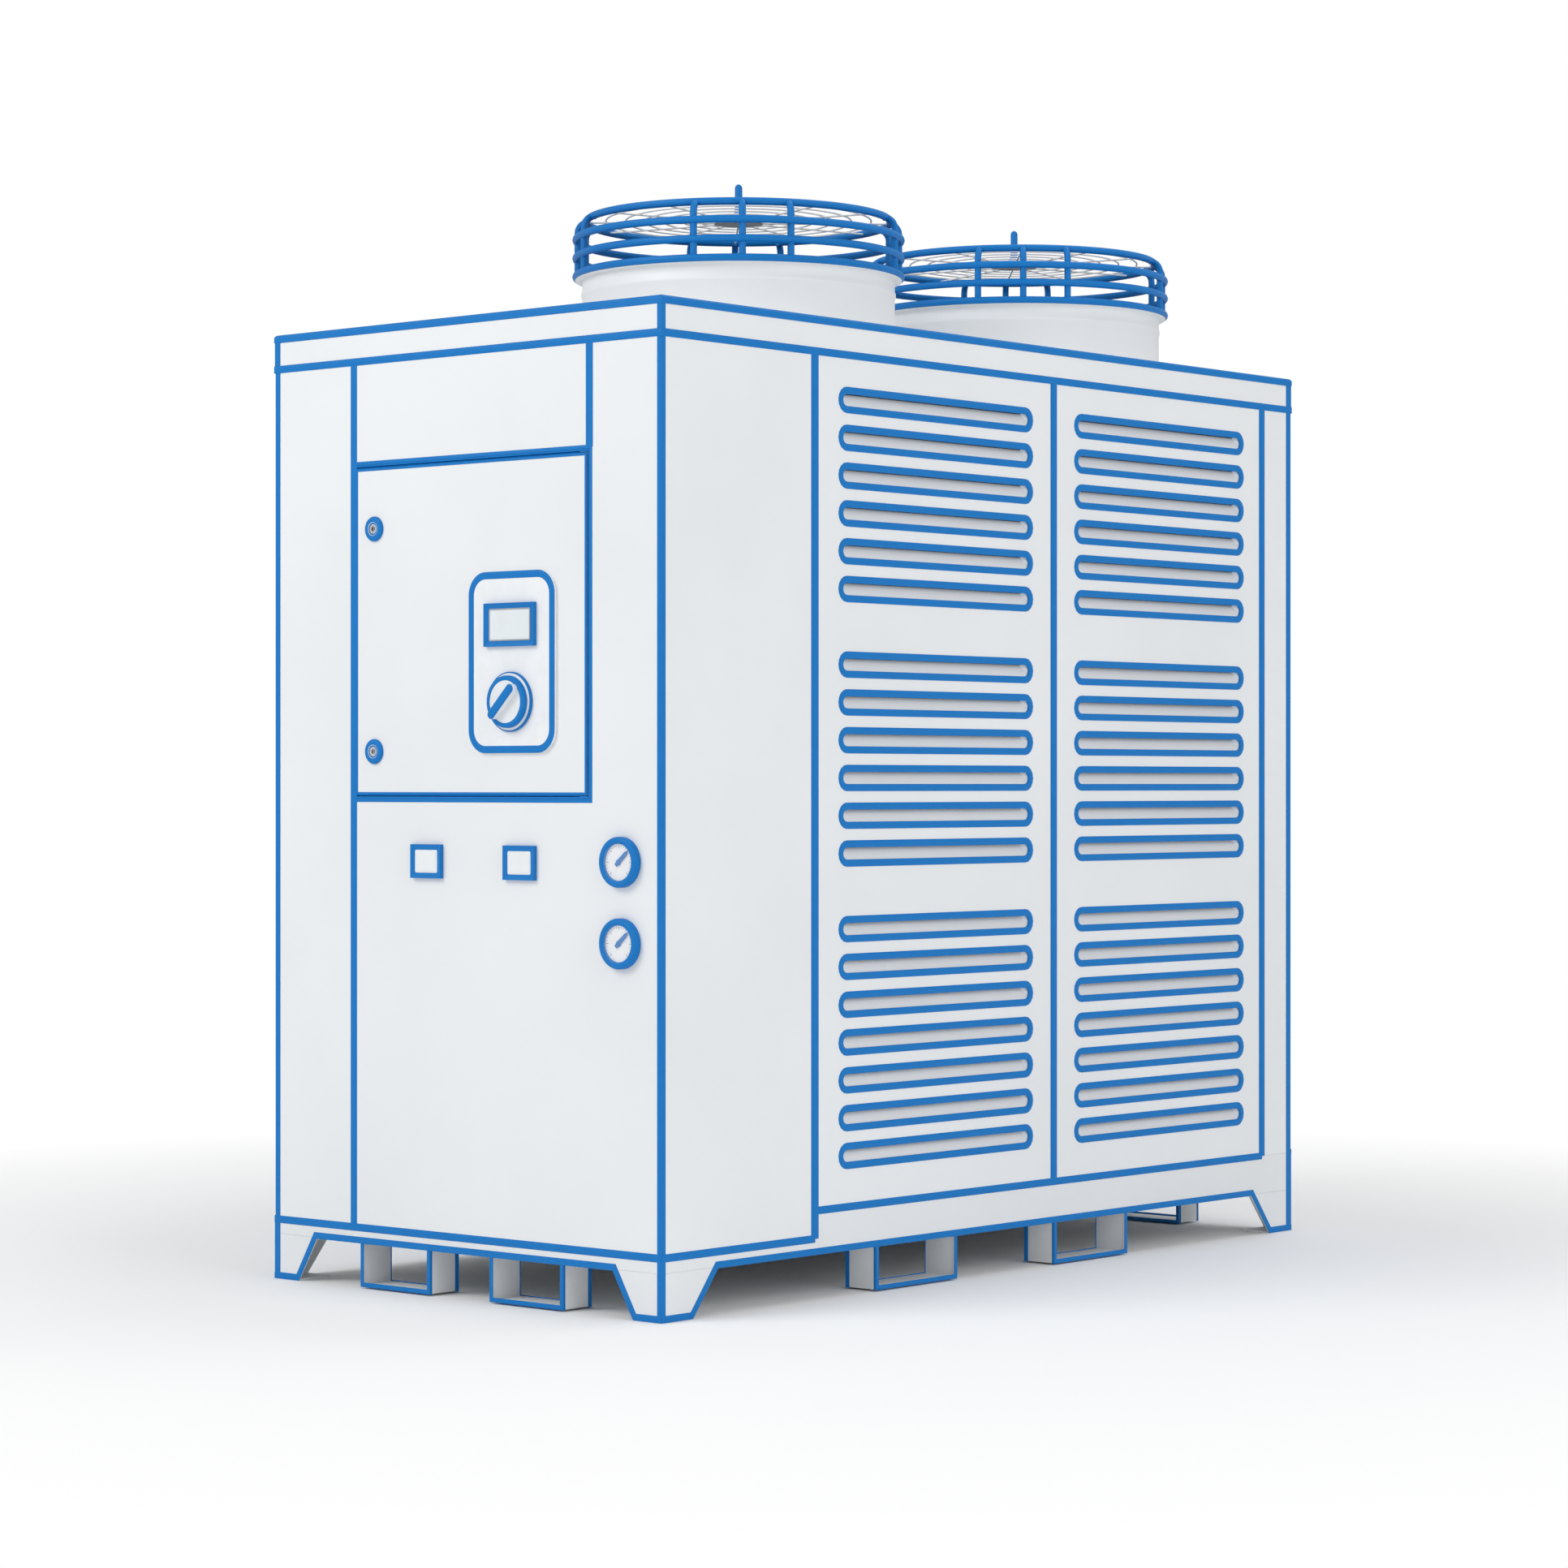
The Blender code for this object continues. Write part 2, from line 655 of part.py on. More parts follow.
def front_panels():
    """The fixed panels round the door. Their outer sheets lap behind the side panels' edges."""
    half_gap = SEAT_GAP / 2
    low, high = RAIL_TOP + SEAT_GAP, PANEL_TOP - half_gap
    at = (0, -HALF_LENGTH, 0)
    edge = HALF_WIDTH - LAP_INSET
    strip = rectangle(-edge, low, BAY_LEFT - half_gap, high)
    sheet_panel("front_left_strip", strip, at, FRONT)
    header = rectangle(
        BAY_LEFT + half_gap, DOOR_BAY_TOP, BAY_RIGHT - half_gap, high
    )
    sheet_panel("header_panel", header, at, FRONT)
    main = [
        (BAY_LEFT + half_gap, low),
        (edge, low),
        (edge, high),
        (BAY_RIGHT + half_gap, high),
        (BAY_RIGHT + half_gap, DOOR_BAY_BOTTOM),
        (BAY_LEFT + half_gap, DOOR_BAY_BOTTOM),
    ]
    clear = (GAUGE_BODY_RADIUS + SEAT_GAP) / math.cos(math.pi / GAUGE_STEPS)
    gauge_holes = [circle(x, z, clear, GAUGE_STEPS) for x, z in gauge_places()]
    half_w = LAMP_WIDTH / 2 - LAMP_FRAME + SEAT_GAP
    half_h = LAMP_HEIGHT / 2 - LAMP_FRAME + SEAT_GAP
    lamp_holes = [
        rectangle(x - half_w, z - half_h, x + half_w, z + half_h) for x, z in lamp_places()
    ]
    sheet_panel("front_main_panel", main, at, FRONT, holes=gauge_holes + lamp_holes)


def gauge_places():
    x = HALF_WIDTH - GAUGE_FROM_SIDE
    z = DOOR_BAY_BOTTOM - GAUGE_BELOW_DOOR
    return [(x, z), (x, z - GAUGE_SPACING)]


def lamp_places():
    middle = (BAY_LEFT + BAY_RIGHT) / 2 + LAMP_PAIR_FROM_BAY_MIDDLE
    z = DOOR_BAY_BOTTOM - LAMP_BELOW_DOOR
    return [(middle - LAMP_SPACING / 2, z), (middle + LAMP_SPACING / 2, z)]


def gauge(name, x, z):
    """A round dial gauge whose body passes through the panel."""
    profile = [
        (0, GAUGE_PROUD - GAUGE_DIAL_SINK),
        (GAUGE_RADIUS - GAUGE_BEZEL, GAUGE_PROUD - GAUGE_DIAL_SINK),
        (GAUGE_RADIUS - GAUGE_BEZEL, GAUGE_PROUD),
        (GAUGE_RADIUS - GAUGE_BEZEL / 3, GAUGE_PROUD),
        (GAUGE_RADIUS, GAUGE_PROUD - GAUGE_BEZEL / 2),
        (GAUGE_RADIUS, SEAT_GAP),
        (GAUGE_BODY_RADIUS, SEAT_GAP),
        (GAUGE_BODY_RADIUS, -GAUGE_BODY_DEPTH),
        (0, -GAUGE_BODY_DEPTH),
    ]
    at = (x, -HALF_LENGTH, z)
    case = turned(name, profile, TRIM_BLUE, GAUGE_STEPS, at=at, turn=(math.pi / 2, 0, 0))
    dial = -GAUGE_PROUD + GAUGE_DIAL_SINK
    turn = Matrix.Rotation(math.radians(-NEEDLE_TURN_DEG), 4, "Y")
    needle = block(
        (-NEEDLE_LENGTH * 0.25, dial - NEEDLE_THICKNESS, -NEEDLE_WIDTH / 2),
        (NEEDLE_LENGTH, dial + NEEDLE_THICKNESS, NEEDLE_WIDTH / 2),
    )
    bmesh.ops.transform(needle, matrix=turn, verts=needle.verts)
    pointer = add(name + "_needle", mesh_of(needle, name + "_needle"), None, at, collection=HELPERS)
    fuse(case, pointer)


def pilot_lamp(name, x, z):
    """A square framed lamp with a sunk lens, and its body behind the panel."""
    half_w, half_h = LAMP_WIDTH / 2, LAMP_HEIGHT / 2
    bm = block((-half_w, -LAMP_PROUD, -half_h), (half_w, -SEAT_GAP, half_h))
    bm.normal_update()
    front = face_towards(bm, (0, -1, 0))
    bmesh.ops.inset_region(bm, faces=[front], thickness=LAMP_FRAME, depth=0, use_even_offset=True)
    bmesh.ops.translate(bm, vec=(0, LAMP_SINK, 0), verts=front.verts)
    bm.normal_update()
    back = face_towards(bm, (0, 1, 0))
    bmesh.ops.inset_region(bm, faces=[back], thickness=LAMP_FRAME, depth=0, use_even_offset=True)
    made = bmesh.ops.extrude_discrete_faces(bm, faces=[back])
    bmesh.ops.translate(bm, vec=(0, LAMP_BODY_DEPTH, 0), verts=made["faces"][0].verts)
    add(name, mesh_of(bm, name), TRIM_BLUE, (x, -HALF_LENGTH, z))


def front_instruments():
    for name, (x, z) in zip(("pressure_gauge_upper", "pressure_gauge_lower"), gauge_places()):
        gauge(name, x, z)
    for name, (x, z) in zip(("pilot_lamp_left", "pilot_lamp_right"), lamp_places()):
        pilot_lamp(name, x, z)


# Electrical door and what it carries


def lock_places():
    x = BAY_LEFT + MOVING_GAP + LOCK_FROM_DOOR_EDGE
    upper = DOOR_BAY_TOP - MOVING_GAP - LOCK_UPPER_BELOW_DOOR_TOP
    lower = DOOR_BAY_BOTTOM + MOVING_GAP + LOCK_LOWER_ABOVE_DOOR_BOTTOM
    return [("upper", x, upper), ("lower", x, lower)]


def electrical_door(hinge):
    """A folded door with the rings of its two locks. Its origin is on the pivots' axis."""
    left, right = BAY_LEFT + MOVING_GAP - PIVOT_X, BAY_RIGHT - MOVING_GAP - PIVOT_X
    low, high = DOOR_BAY_BOTTOM + MOVING_GAP, DOOR_BAY_TOP - MOVING_GAP
    bore = LOCK_CORE_RADIUS + PIN_GAP
    holes = [circle(x - PIVOT_X, z, bore, LOCK_STEPS) for _, x, z in lock_places()]
    face = -PIVOT_FROM_FACE
    door = sheet_panel(
        "electrical_door", rectangle(left, low, right, high), (0, face, 0), FRONT,
        depth=DOOR_DEPTH, holes=holes,
    )
    door.parent = hinge
    overlap = SHEET / 2
    for side, x, z in lock_places():
        profile = [
            (bore + PIN_GAP, LOCK_RING_THICKNESS),
            (LOCK_RING_RADIUS - LOCK_RING_EDGE, LOCK_RING_THICKNESS),
            (LOCK_RING_RADIUS, LOCK_RING_THICKNESS - LOCK_RING_EDGE),
            (LOCK_RING_RADIUS, -overlap),
            (bore + PIN_GAP, -overlap),
        ]
        ring = turned(
            "lock_ring_" + side, profile, None, LOCK_STEPS, ring=True, at=(x - PIVOT_X, face, z),
            turn=(math.pi / 2, 0, 0), collection=HELPERS,
        )
        ring.parent = hinge
        fuse(door, ring, solver="MANIFOLD")


def quarter_turn_lock(side, x, z, hinge):
    """The turning core of a lock, with its key recess and the cam behind the door."""
    cam_face = LIP_FACE + SHEET + MOVING_GAP + HALF_LENGTH
    profile = [
        (0, LOCK_CORE_PROUD - KEY_RECESS_DEPTH),
        (KEY_RECESS_RADIUS, LOCK_CORE_PROUD - KEY_RECESS_DEPTH),
        (KEY_RECESS_RADIUS, LOCK_CORE_PROUD),
        (LOCK_CORE_RADIUS - 0.001, LOCK_CORE_PROUD),
        (LOCK_CORE_RADIUS, LOCK_CORE_PROUD - 0.001),
        (LOCK_CORE_RADIUS, -cam_face - CAM_THICKNESS / 2),
        (0, -cam_face - CAM_THICKNESS / 2),
    ]
    place = (x - PIVOT_X, -PIVOT_FROM_FACE, z)
    core = turned(
        "quarter_turn_lock_" + side, profile, ZINC, LOCK_STEPS, at=place, turn=(math.pi / 2, 0, 0)
    )
    core.parent = hinge
    half = CAM_WIDTH / 2
    cam = box(
        "cam_" + side, (-half, cam_face, -half), (half, cam_face + CAM_THICKNESS, CAM_LENGTH),
        None, HELPERS, place,
    )
    cam.parent = hinge
    fuse(core, cam)


def control_panel(hinge):
    """The rounded plate on the door with the display and the main switch."""
    on_door = (CONTROL_X - PIVOT_X, -PIVOT_FROM_FACE - SEAT_GAP, CONTROL_Z)
    outline = rounded_rectangle(CONTROL_PLATE_WIDTH, CONTROL_PLATE_HEIGHT, CONTROL_PLATE_RADIUS)
    plate = flat_plate("control_plate", outline, CONTROL_PLATE_THICKNESS, PANEL_WHITE, on_door)
    plate.parent = hinge

    front = Vector(on_door) + Vector((0, -CONTROL_PLATE_THICKNESS - SEAT_GAP, 0))
    half_w, half_h = DISPLAY_WIDTH / 2, DISPLAY_HEIGHT / 2
    bm = block((-half_w, -DISPLAY_THICKNESS, -half_h), (half_w, 0, half_h))
    bm.normal_update()
    screen = face_towards(bm, (0, -1, 0))
    bmesh.ops.inset_region(bm, faces=[screen], thickness=DISPLAY_FRAME, depth=0, use_even_offset=True)
    bmesh.ops.translate(bm, vec=(0, DISPLAY_SINK, 0), verts=screen.verts)
    display = add("display", mesh_of(bm, "display"), TRIM_BLUE, front + Vector((0, 0, DISPLAY_RISE)))
    display.parent = hinge

    switch = front + Vector((0, 0, -SWITCH_DROP))
    rosette = turned(
        "switch_rosette",
        [
            (0, SWITCH_ROSETTE_THICKNESS),
            (SWITCH_RADIUS - 0.002, SWITCH_ROSETTE_THICKNESS),
            (SWITCH_RADIUS, SWITCH_ROSETTE_THICKNESS - 0.002),
            (SWITCH_RADIUS, 0),
            (0, 0),
        ],
        TRIM_BLUE, SWITCH_STEPS, at=switch, turn=(math.pi / 2, 0, 0),
    )
    rosette.parent = hinge
    return switch


def main_switch_handle(hinge, switch):
    """The turning knob with its grip bar, drawn at 45 degrees."""
    base = SWITCH_ROSETTE_THICKNESS + SEAT_GAP
    knob = turned(
        "main_switch_handle",
        [
            (0, base + KNOB_THICKNESS),
            (KNOB_RADIUS - 0.003, base + KNOB_THICKNESS),
            (KNOB_RADIUS, base + KNOB_THICKNESS - 0.003),
            (KNOB_RADIUS, base),
            (0, base),
        ],
        PALE_PLASTIC, SWITCH_STEPS, at=switch, turn=(math.pi / 2, 0, 0),
    )
    knob.parent = hinge
    bm = block(
        (-GRIP_LENGTH / 2, -base - KNOB_THICKNESS - GRIP_HEIGHT, -GRIP_WIDTH / 2),
        (GRIP_LENGTH / 2, -base - KNOB_THICKNESS / 2, GRIP_WIDTH / 2),
    )
    upright = [e for e in bm.edges if abs((e.verts[0].co - e.verts[1].co).normalized().y) > 0.9]
    bmesh.ops.bevel(
        bm, geom=upright, offset=GRIP_WIDTH * 0.45, segments=3, profile=0.5, affect="EDGES"
    )
    turn = Matrix.Rotation(math.radians(-GRIP_TURN_DEG), 4, "Y")
    bmesh.ops.transform(bm, matrix=turn, verts=bm.verts)
    grip = add("switch_grip", mesh_of(bm, "switch_grip"), None, switch, collection=HELPERS)
    grip.parent = hinge
    fuse(knob, grip)


def door_assembly():
    hinge = bpy.data.objects.new("door_hinge", None)
    PARTS.objects.link(hinge)
    hinge.location = (PIVOT_X, PIVOT_Y, 0)
    electrical_door(hinge)
    for side, x, z in lock_places():
        quarter_turn_lock(side, x, z, hinge)
    switch = control_panel(hinge)
    main_switch_handle(hinge, switch)


# Electrical enclosure and switchgear


def electrical_enclosure():
    """A box behind the door, with a lip round its mouth and the two door pivots on it."""
    side = ENCLOSURE_OUTSIDE
    low = (BAY_LEFT - side, LIP_FACE, DOOR_BAY_BOTTOM - side)
    high = (BAY_RIGHT + side, LIP_FACE + ENCLOSURE_DEPTH, DOOR_BAY_TOP + side)
    bm = block(low, high)
    bm.normal_update()
    mouth = face_towards(bm, (0, -1, 0))
    bmesh.ops.delete(bm, geom=[mouth], context="FACES_ONLY")
    shell = add("electrical_enclosure", mesh_of(bm, "electrical_enclosure"), ZINC)
    solidify(shell, SHEET)

    out, inward = LIP_OUTWARD, LIP_INWARD
    lip = box(
        "enclosure_lip",
        (BAY_LEFT - out, LIP_FACE, DOOR_BAY_BOTTOM - out),
        (BAY_RIGHT + out, LIP_FACE + SHEET, DOOR_BAY_TOP + out),
        None, HELPERS,
    )
    window = box(
        "enclosure_window",
        (BAY_LEFT + inward, LIP_FACE - SHEET, DOOR_BAY_BOTTOM + inward),
        (BAY_RIGHT - inward, LIP_FACE + 2 * SHEET, DOOR_BAY_TOP - inward),
        None, HELPERS,
    )
    cut(lip, window)
    fuse(shell, lip)
    half = PIVOT_WIDTH / 2
    thickness = MOVING_GAP - 2 * SEAT_GAP
    front = PIVOT_Y - PIVOT_FROM_FACE + EDGE_RADIUS + SEAT_GAP
    for end, bottom in (
        ("lower", DOOR_BAY_BOTTOM + SEAT_GAP),
        ("upper", DOOR_BAY_TOP - SEAT_GAP - thickness),
    ):
        arm = box(
            "door_pivot_" + end,
            (PIVOT_X - half, front, bottom),
            (PIVOT_X + half, LIP_FACE + SHEET / 2, bottom + thickness),
            None, HELPERS,
        )
        fuse(shell, arm)


def switchgear():
    """Mounting plate with wiring ducts and two rows of rail-mounted devices."""
    back = LIP_FACE + ENCLOSURE_DEPTH - SHEET
    margin = GEAR_PLATE_MARGIN
    x0, x1 = BAY_LEFT + margin, BAY_RIGHT - margin
    z0, z1 = DOOR_BAY_BOTTOM + margin, DOOR_BAY_TOP - margin
    face = back - GEAR_PLATE_STAND_OFF - GEAR_PLATE_THICKNESS
    plate = box(
        "switchgear_plate", (x0, face, z0), (x1, face + GEAR_PLATE_THICKNESS, z1), ZINC
    )
    shapes = []
    for i, (x, z) in enumerate(((x0, z0), (x1, z0), (x1, z1), (x0, z1))):
        inner_x = x + math.copysign(margin, -x + (x0 + x1) / 2)
        inner_z = z + math.copysign(margin, -z + (z0 + z1) / 2)
        half = margin / 3
        shapes.append(
            box(
                f"gear_post_{i}",
                (inner_x - half, face + GEAR_PLATE_THICKNESS / 2, inner_z - half),
                (inner_x + half, back - SEAT_GAP, inner_z + half),
                None, HELPERS,
            )
        )
    pitch = (z1 - z0 - DUCT_HEIGHT) / len(DEVICE_ROWS)
    for i in range(len(DEVICE_ROWS) + 1):
        bottom = z0 + i * pitch
        shapes.append(
            box(
                f"wiring_duct_{i}", (x0 + margin, face - DUCT_DEPTH, bottom),
                (x1 - margin, face + GEAR_PLATE_THICKNESS / 2, bottom + DUCT_HEIGHT), None, HELPERS,
            )
        )
    rail_sink = GEAR_PLATE_THICKNESS / 2
    for row, device in enumerate(DEVICE_ROWS):
        middle = z0 + DUCT_HEIGHT + (row + 0.5) * pitch - DUCT_HEIGHT / 2
        rail = GEAR_RAIL_HEIGHT / 2
        shapes.append(
            box(
                f"gear_rail_{row}", (x0 + margin, face - GEAR_RAIL_DEPTH, middle - rail),
                (x1 - margin, face + rail_sink, middle + rail), None, HELPERS,
            )
        )
        half = device["height"] / 2
        for k in range(device["count"]):
            x = x0 + 2 * margin + k * (device["width"] + device["gap"])
            shapes.append(
                box(
                    f"device_{row}_{k}", (x, face - DEVICE_DEPTH, middle - half),
                    (x + device["width"], face - GEAR_RAIL_DEPTH / 2, middle + half), None, HELPERS,
                )
            )
    fuse(plate, *shapes)


# Sides and rear


def slot_rows():
    """Heights of the slots' middles. One place is left out between groups."""
    place = 0
    rows = []
    for group in SLOT_GROUPS:
        for _ in range(group):
            rows.append(PANEL_TOP - SLOT_TOP_MARGIN - SLOT_HEIGHT / 2 - place * SLOT_PITCH)
            place += 1
        place += 1
    return rows


def side_panels(side, face_x, turn):
    """A plain panel beside the front, two louvre panels and a rear post."""
    half_gap = SEAT_GAP / 2
    mirror = 1 if side == "right" else -1
    at = (face_x, 0, 0)

    def upright(name, start, end, low, lapped=None, slots=()):
        """A panel between two distances from the front face.

        Where its front or rear end laps over a neighbour, only the other end folds back.
        """
        x0, x1 = sorted((mirror * (start - HALF_LENGTH), mirror * (end - HALF_LENGTH)))
        outline = rectangle(x0, low, x1, PANEL_TOP - half_gap)
        rear, front = lapped != "rear", lapped != "front"
        ends = (rear, front) if mirror > 0 else (front, rear)
        folds = (not lapped, ends[0], not lapped, ends[1])
        sheet_panel(name, outline, at, turn, folds=folds, slots=slots)

    upright(
        "side_panel_front_" + side, EDGE_RADIUS, FRONT_SECTION_LENGTH - half_gap,
        RAIL_TOP + SEAT_GAP, lapped="front",
    )
    low = SILL_TOP + SEAT_GAP
    for k, name in enumerate(("louvre_panel_front_", "louvre_panel_rear_")):
        start = FRONT_SECTION_LENGTH + k * LOUVRE_PANEL_LENGTH
        middle = mirror * (-HALF_LENGTH + start + LOUVRE_PANEL_LENGTH / 2)
        upright(
            name + side, start + half_gap, start + LOUVRE_PANEL_LENGTH - half_gap, low,
            slots=[slot_outline(middle, z) for z in slot_rows()],
        )
    upright(
        "rear_post_" + side, BODY_LENGTH - REAR_POST_LENGTH + half_gap, BODY_LENGTH - EDGE_RADIUS,
        low, lapped="rear",
    )


def rear_panel():
    """The plain rear sheet, with holes for the two water ports."""
    edge = HALF_WIDTH - LAP_INSET
    clear = (PORT_RADIUS + SEAT_GAP) / math.cos(math.pi / PORT_STEPS)
    holes = [circle(-x, PORT_HEIGHT, clear, PORT_STEPS) for x in port_places()]
    sheet_panel(
        "rear_panel", rectangle(-edge, SILL_TOP + SEAT_GAP, edge, PANEL_TOP - SEAT_GAP / 2),
        (0, HALF_LENGTH, 0), REAR, holes=holes,
    )


def port_places():
    return [-PORT_SPACING / 2, PORT_SPACING / 2]


def water_port(name, x):
    """A pipe stub through the rear panel with a collar, closed by a plug."""
    reach = HANDLE_REACH
    profile = [
        (0, reach),
        (PORT_PLUG_RADIUS - PORT_PLUG_EDGE, reach),
        (PORT_PLUG_RADIUS, reach - PORT_PLUG_EDGE),
        (PORT_PLUG_RADIUS, reach - PORT_PLUG_LENGTH),
        (PORT_RADIUS, reach - PORT_PLUG_LENGTH),
        (PORT_RADIUS, PORT_COLLAR_THICKNESS + SEAT_GAP),
        (PORT_COLLAR_RADIUS, PORT_COLLAR_THICKNESS + SEAT_GAP),
        (PORT_COLLAR_RADIUS, SEAT_GAP),
        (PORT_RADIUS, SEAT_GAP),
        (PORT_RADIUS, -PORT_TAIL),
        (0, -PORT_TAIL),
    ]
    turned(name, profile, ZINC, PORT_STEPS, at=(x, HALF_LENGTH, PORT_HEIGHT), turn=(-math.pi / 2, 0, 0))


def bulkhead():
    """The wall between the electrical section and the condenser section."""
    middle = -HALF_LENGTH + FRONT_SECTION_LENGTH
    x = HALF_WIDTH - RAIL_DEPTH - BULKHEAD_FROM_RAIL
    half = BULKHEAD_PLATE / 2
    box(
        "bulkhead", (-x, middle - half, PAN_TOP + SEAT_GAP),
        (x, middle + half, PANEL_TOP - SEAT_GAP), ZINC,
    )


def coil(name, side):
    """A finned block in a folded frame, standing on the pan behind the louvres."""
    start = -HALF_LENGTH + FRONT_SECTION_LENGTH + COIL_END_GAP
    end = HALF_LENGTH - RAIL_DEPTH - COIL_END_GAP
    outer = HALF_WIDTH - RAIL_DEPTH - COIL_FROM_RAIL
    low = Vector((outer - COIL_THICKNESS, start, PAN_TOP + SEAT_GAP))
    high = Vector((outer, end, PANEL_TOP - COIL_TOP_GAP))
    bm = block(low, high)
    bm.normal_update()
    for direction in (1, -1):
        face = face_towards(bm, (direction, 0, 0))
        bmesh.ops.inset_region(bm, faces=[face], thickness=COIL_FRAME, depth=0, use_even_offset=True)
        bmesh.ops.translate(bm, vec=(-direction * COIL_CORE_SINK, 0, 0), verts=face.verts)
    if side < 0:
        bmesh.ops.scale(bm, vec=(-1, 1, 1), verts=bm.verts)
        bmesh.ops.reverse_faces(bm, faces=bm.faces)
    add(name, mesh_of(bm, name), FIN_METAL)


# Roof cap and fans


def fan_places():
    first = -HALF_LENGTH + FAN_FROM_FRONT
    return [("front", FAN_ROW_SHIFT, first), ("rear", FAN_ROW_SHIFT, first + FAN_SPACING)]


def roof_cap():
    """A folded lid with a lip under its skirt and a round opening for each fan."""
    bm = block(
        (-HALF_WIDTH, -HALF_LENGTH, PANEL_TOP + SEAT_GAP / 2), (HALF_WIDTH, HALF_LENGTH, ROOF_TOP)
    )
    bm.normal_update()
    bottom = face_towards(bm, (0, 0, -1))
    bmesh.ops.inset_region(bm, faces=[bottom], thickness=CAP_LIP, depth=0, use_even_offset=True)
    bmesh.ops.delete(bm, geom=[bottom], context="FACES_ONLY")
    bm.normal_update()
    top = face_towards(bm, (0, 0, 1))
    bmesh.ops.bevel(
        bm, geom=list(top.edges), offset=CAP_RADIUS, segments=CAP_SEGMENTS, profile=0.5,
        affect="EDGES",
    )
    cap = add("roof_cap", mesh_of(bm, "roof_cap", 25), PANEL_WHITE)
    solidify(cap, SHEET)
    for name, x, y in fan_places():
        hole = SHROUD_RADIUS + SHROUD_BELL - SHROUD_PLATE
        punch = turned(
            "fan_hole_" + name,
            [(0, 2 * SHEET), (hole, 2 * SHEET), (hole, -4 * SHEET), (0, -4 * SHEET)],
            None, SHROUD_STEPS, at=(x, y, ROOF_TOP), collection=HELPERS,
        )
        cut(cap, punch)


def fan_shroud(name, x, y):
    """The rolled fan ring, belled out at its foot, with a rim for the guard."""
    outer, inner = SHROUD_RADIUS, SHROUD_RADIUS - SHROUD_PLATE
    foot_radius = outer + SHROUD_BELL + SHROUD_FOOT
    bell = SHROUD_BELL
    plate = SHROUD_PLATE
    rim = outer + SHROUD_RIM
    top = SHROUD_HEIGHT
    profile = [
        (inner, top),
        (rim, top),
        (rim, top - plate),
        (outer, top - plate),
        (outer, bell + plate),
        (outer + bell * 0.3, plate + bell * 0.3),
        (outer + bell, plate),
        (foot_radius, plate),
        (foot_radius, 0),
        (inner + bell, 0),
        (inner + bell * 0.3, bell * 0.3),
        (inner, bell + plate),
    ]
    turned(
        "fan_shroud_" + name, profile, PANEL_WHITE, SHROUD_STEPS, ring=True,
        at=(x, y, ROOF_TOP + SEAT_GAP),
    )


def fan_blade(name, turn_deg):
    """One twisted, swept and cambered blade about local Z."""
    stations, across = 4, 3
    root = HUB_RADIUS - BLADE_ROOT_SINK
    tip = SHROUD_RADIUS - SHROUD_PLATE - FAN_TIP_GAP
    bm = bmesh.new()
    bmesh.ops.create_grid(bm, x_segments=stations, y_segments=across, size=0.5)
    for vert in bm.verts:
        out, over = vert.co.x + 0.5, vert.co.y
        radius = root + (tip - root) * out
        chord = BLADE_ROOT_CHORD + (BLADE_TIP_CHORD - BLADE_ROOT_CHORD) * out
        pitch = math.radians(BLADE_ROOT_PITCH_DEG + (BLADE_TIP_PITCH_DEG - BLADE_ROOT_PITCH_DEG) * out)
        sweep = math.radians(turn_deg + BLADE_SWEEP_DEG * out * out)
        angle = sweep + over * chord * math.cos(pitch) / radius
        camber = BLADE_CAMBER * (1 - 4 * over * over)
        vert.co = (
            radius * math.cos(angle),
            radius * math.sin(angle),
            over * chord * math.sin(pitch) + camber,
        )
    bmesh.ops.recalc_face_normals(bm, faces=bm.faces)
    blade = add(name, mesh_of(bm, name, 40), None, collection=HELPERS)
    shell = blade.modifiers.new("plate", "SOLIDIFY")
    shell.thickness = BLADE_THICKNESS
    shell.offset = 0
    return blade


def fan_rotor(name, x, y):
    """Hub can of an external rotor motor with its blades."""
    bottom = ROOF_TOP + HUB_ABOVE_ROOF
    hub = turned(
        "fan_rotor_" + name,
        [
            (0, HUB_HEIGHT),
            (HUB_RADIUS * 0.85, HUB_HEIGHT),
            (HUB_RADIUS, HUB_HEIGHT - HUB_RADIUS * 0.12),
            (HUB_RADIUS, 0),
            (0, 0),
        ],
        DARK, 24, at=(x, y, bottom),
    )
    for i in range(BLADES):
        blade = fan_blade(f"blade_{name}_{i}", i * 360 / BLADES)
        blade.location = (x, y, bottom + HUB_HEIGHT / 2)
        fuse(hub, blade)


def fan_motor(name, x, y):
    """The standing part of the motor, on struts to the shroud."""
    hub_bottom = ROOF_TOP + HUB_ABOVE_ROOF
    body_top = -MOTOR_UNDER_HUB
    motor = turned(
        "fan_motor_" + name,
        [
            (0, -SEAT_GAP),
            (MOTOR_SPINDLE_RADIUS, -SEAT_GAP),
            (MOTOR_SPINDLE_RADIUS, body_top),
            (MOTOR_RADIUS, body_top),
            (MOTOR_RADIUS, body_top - MOTOR_BODY_HEIGHT),
            (0, body_top - MOTOR_BODY_HEIGHT),
        ],
        DARK, 24, at=(x, y, hub_bottom),
    )
    reach = SHROUD_RADIUS - SHROUD_PLATE - SEAT_GAP
    half_width = STRUT_WIDTH / 2
    end = math.sqrt(reach**2 - half_width**2) * math.cos(math.pi / SHROUD_STEPS)
    low = ROOF_TOP + STRUT_ABOVE_ROOF
    for i in range(STRUTS):
        turn = math.radians(45 + i * 360 / STRUTS)
        strut = box(
            f"strut_{name}_{i}",
            (MOTOR_RADIUS * 0.7, -half_width, low),
            (end, half_width, low + STRUT_HEIGHT),
            None, HELPERS, (x, y, 0), (0, 0, turn),
        )
        fuse(motor, strut)


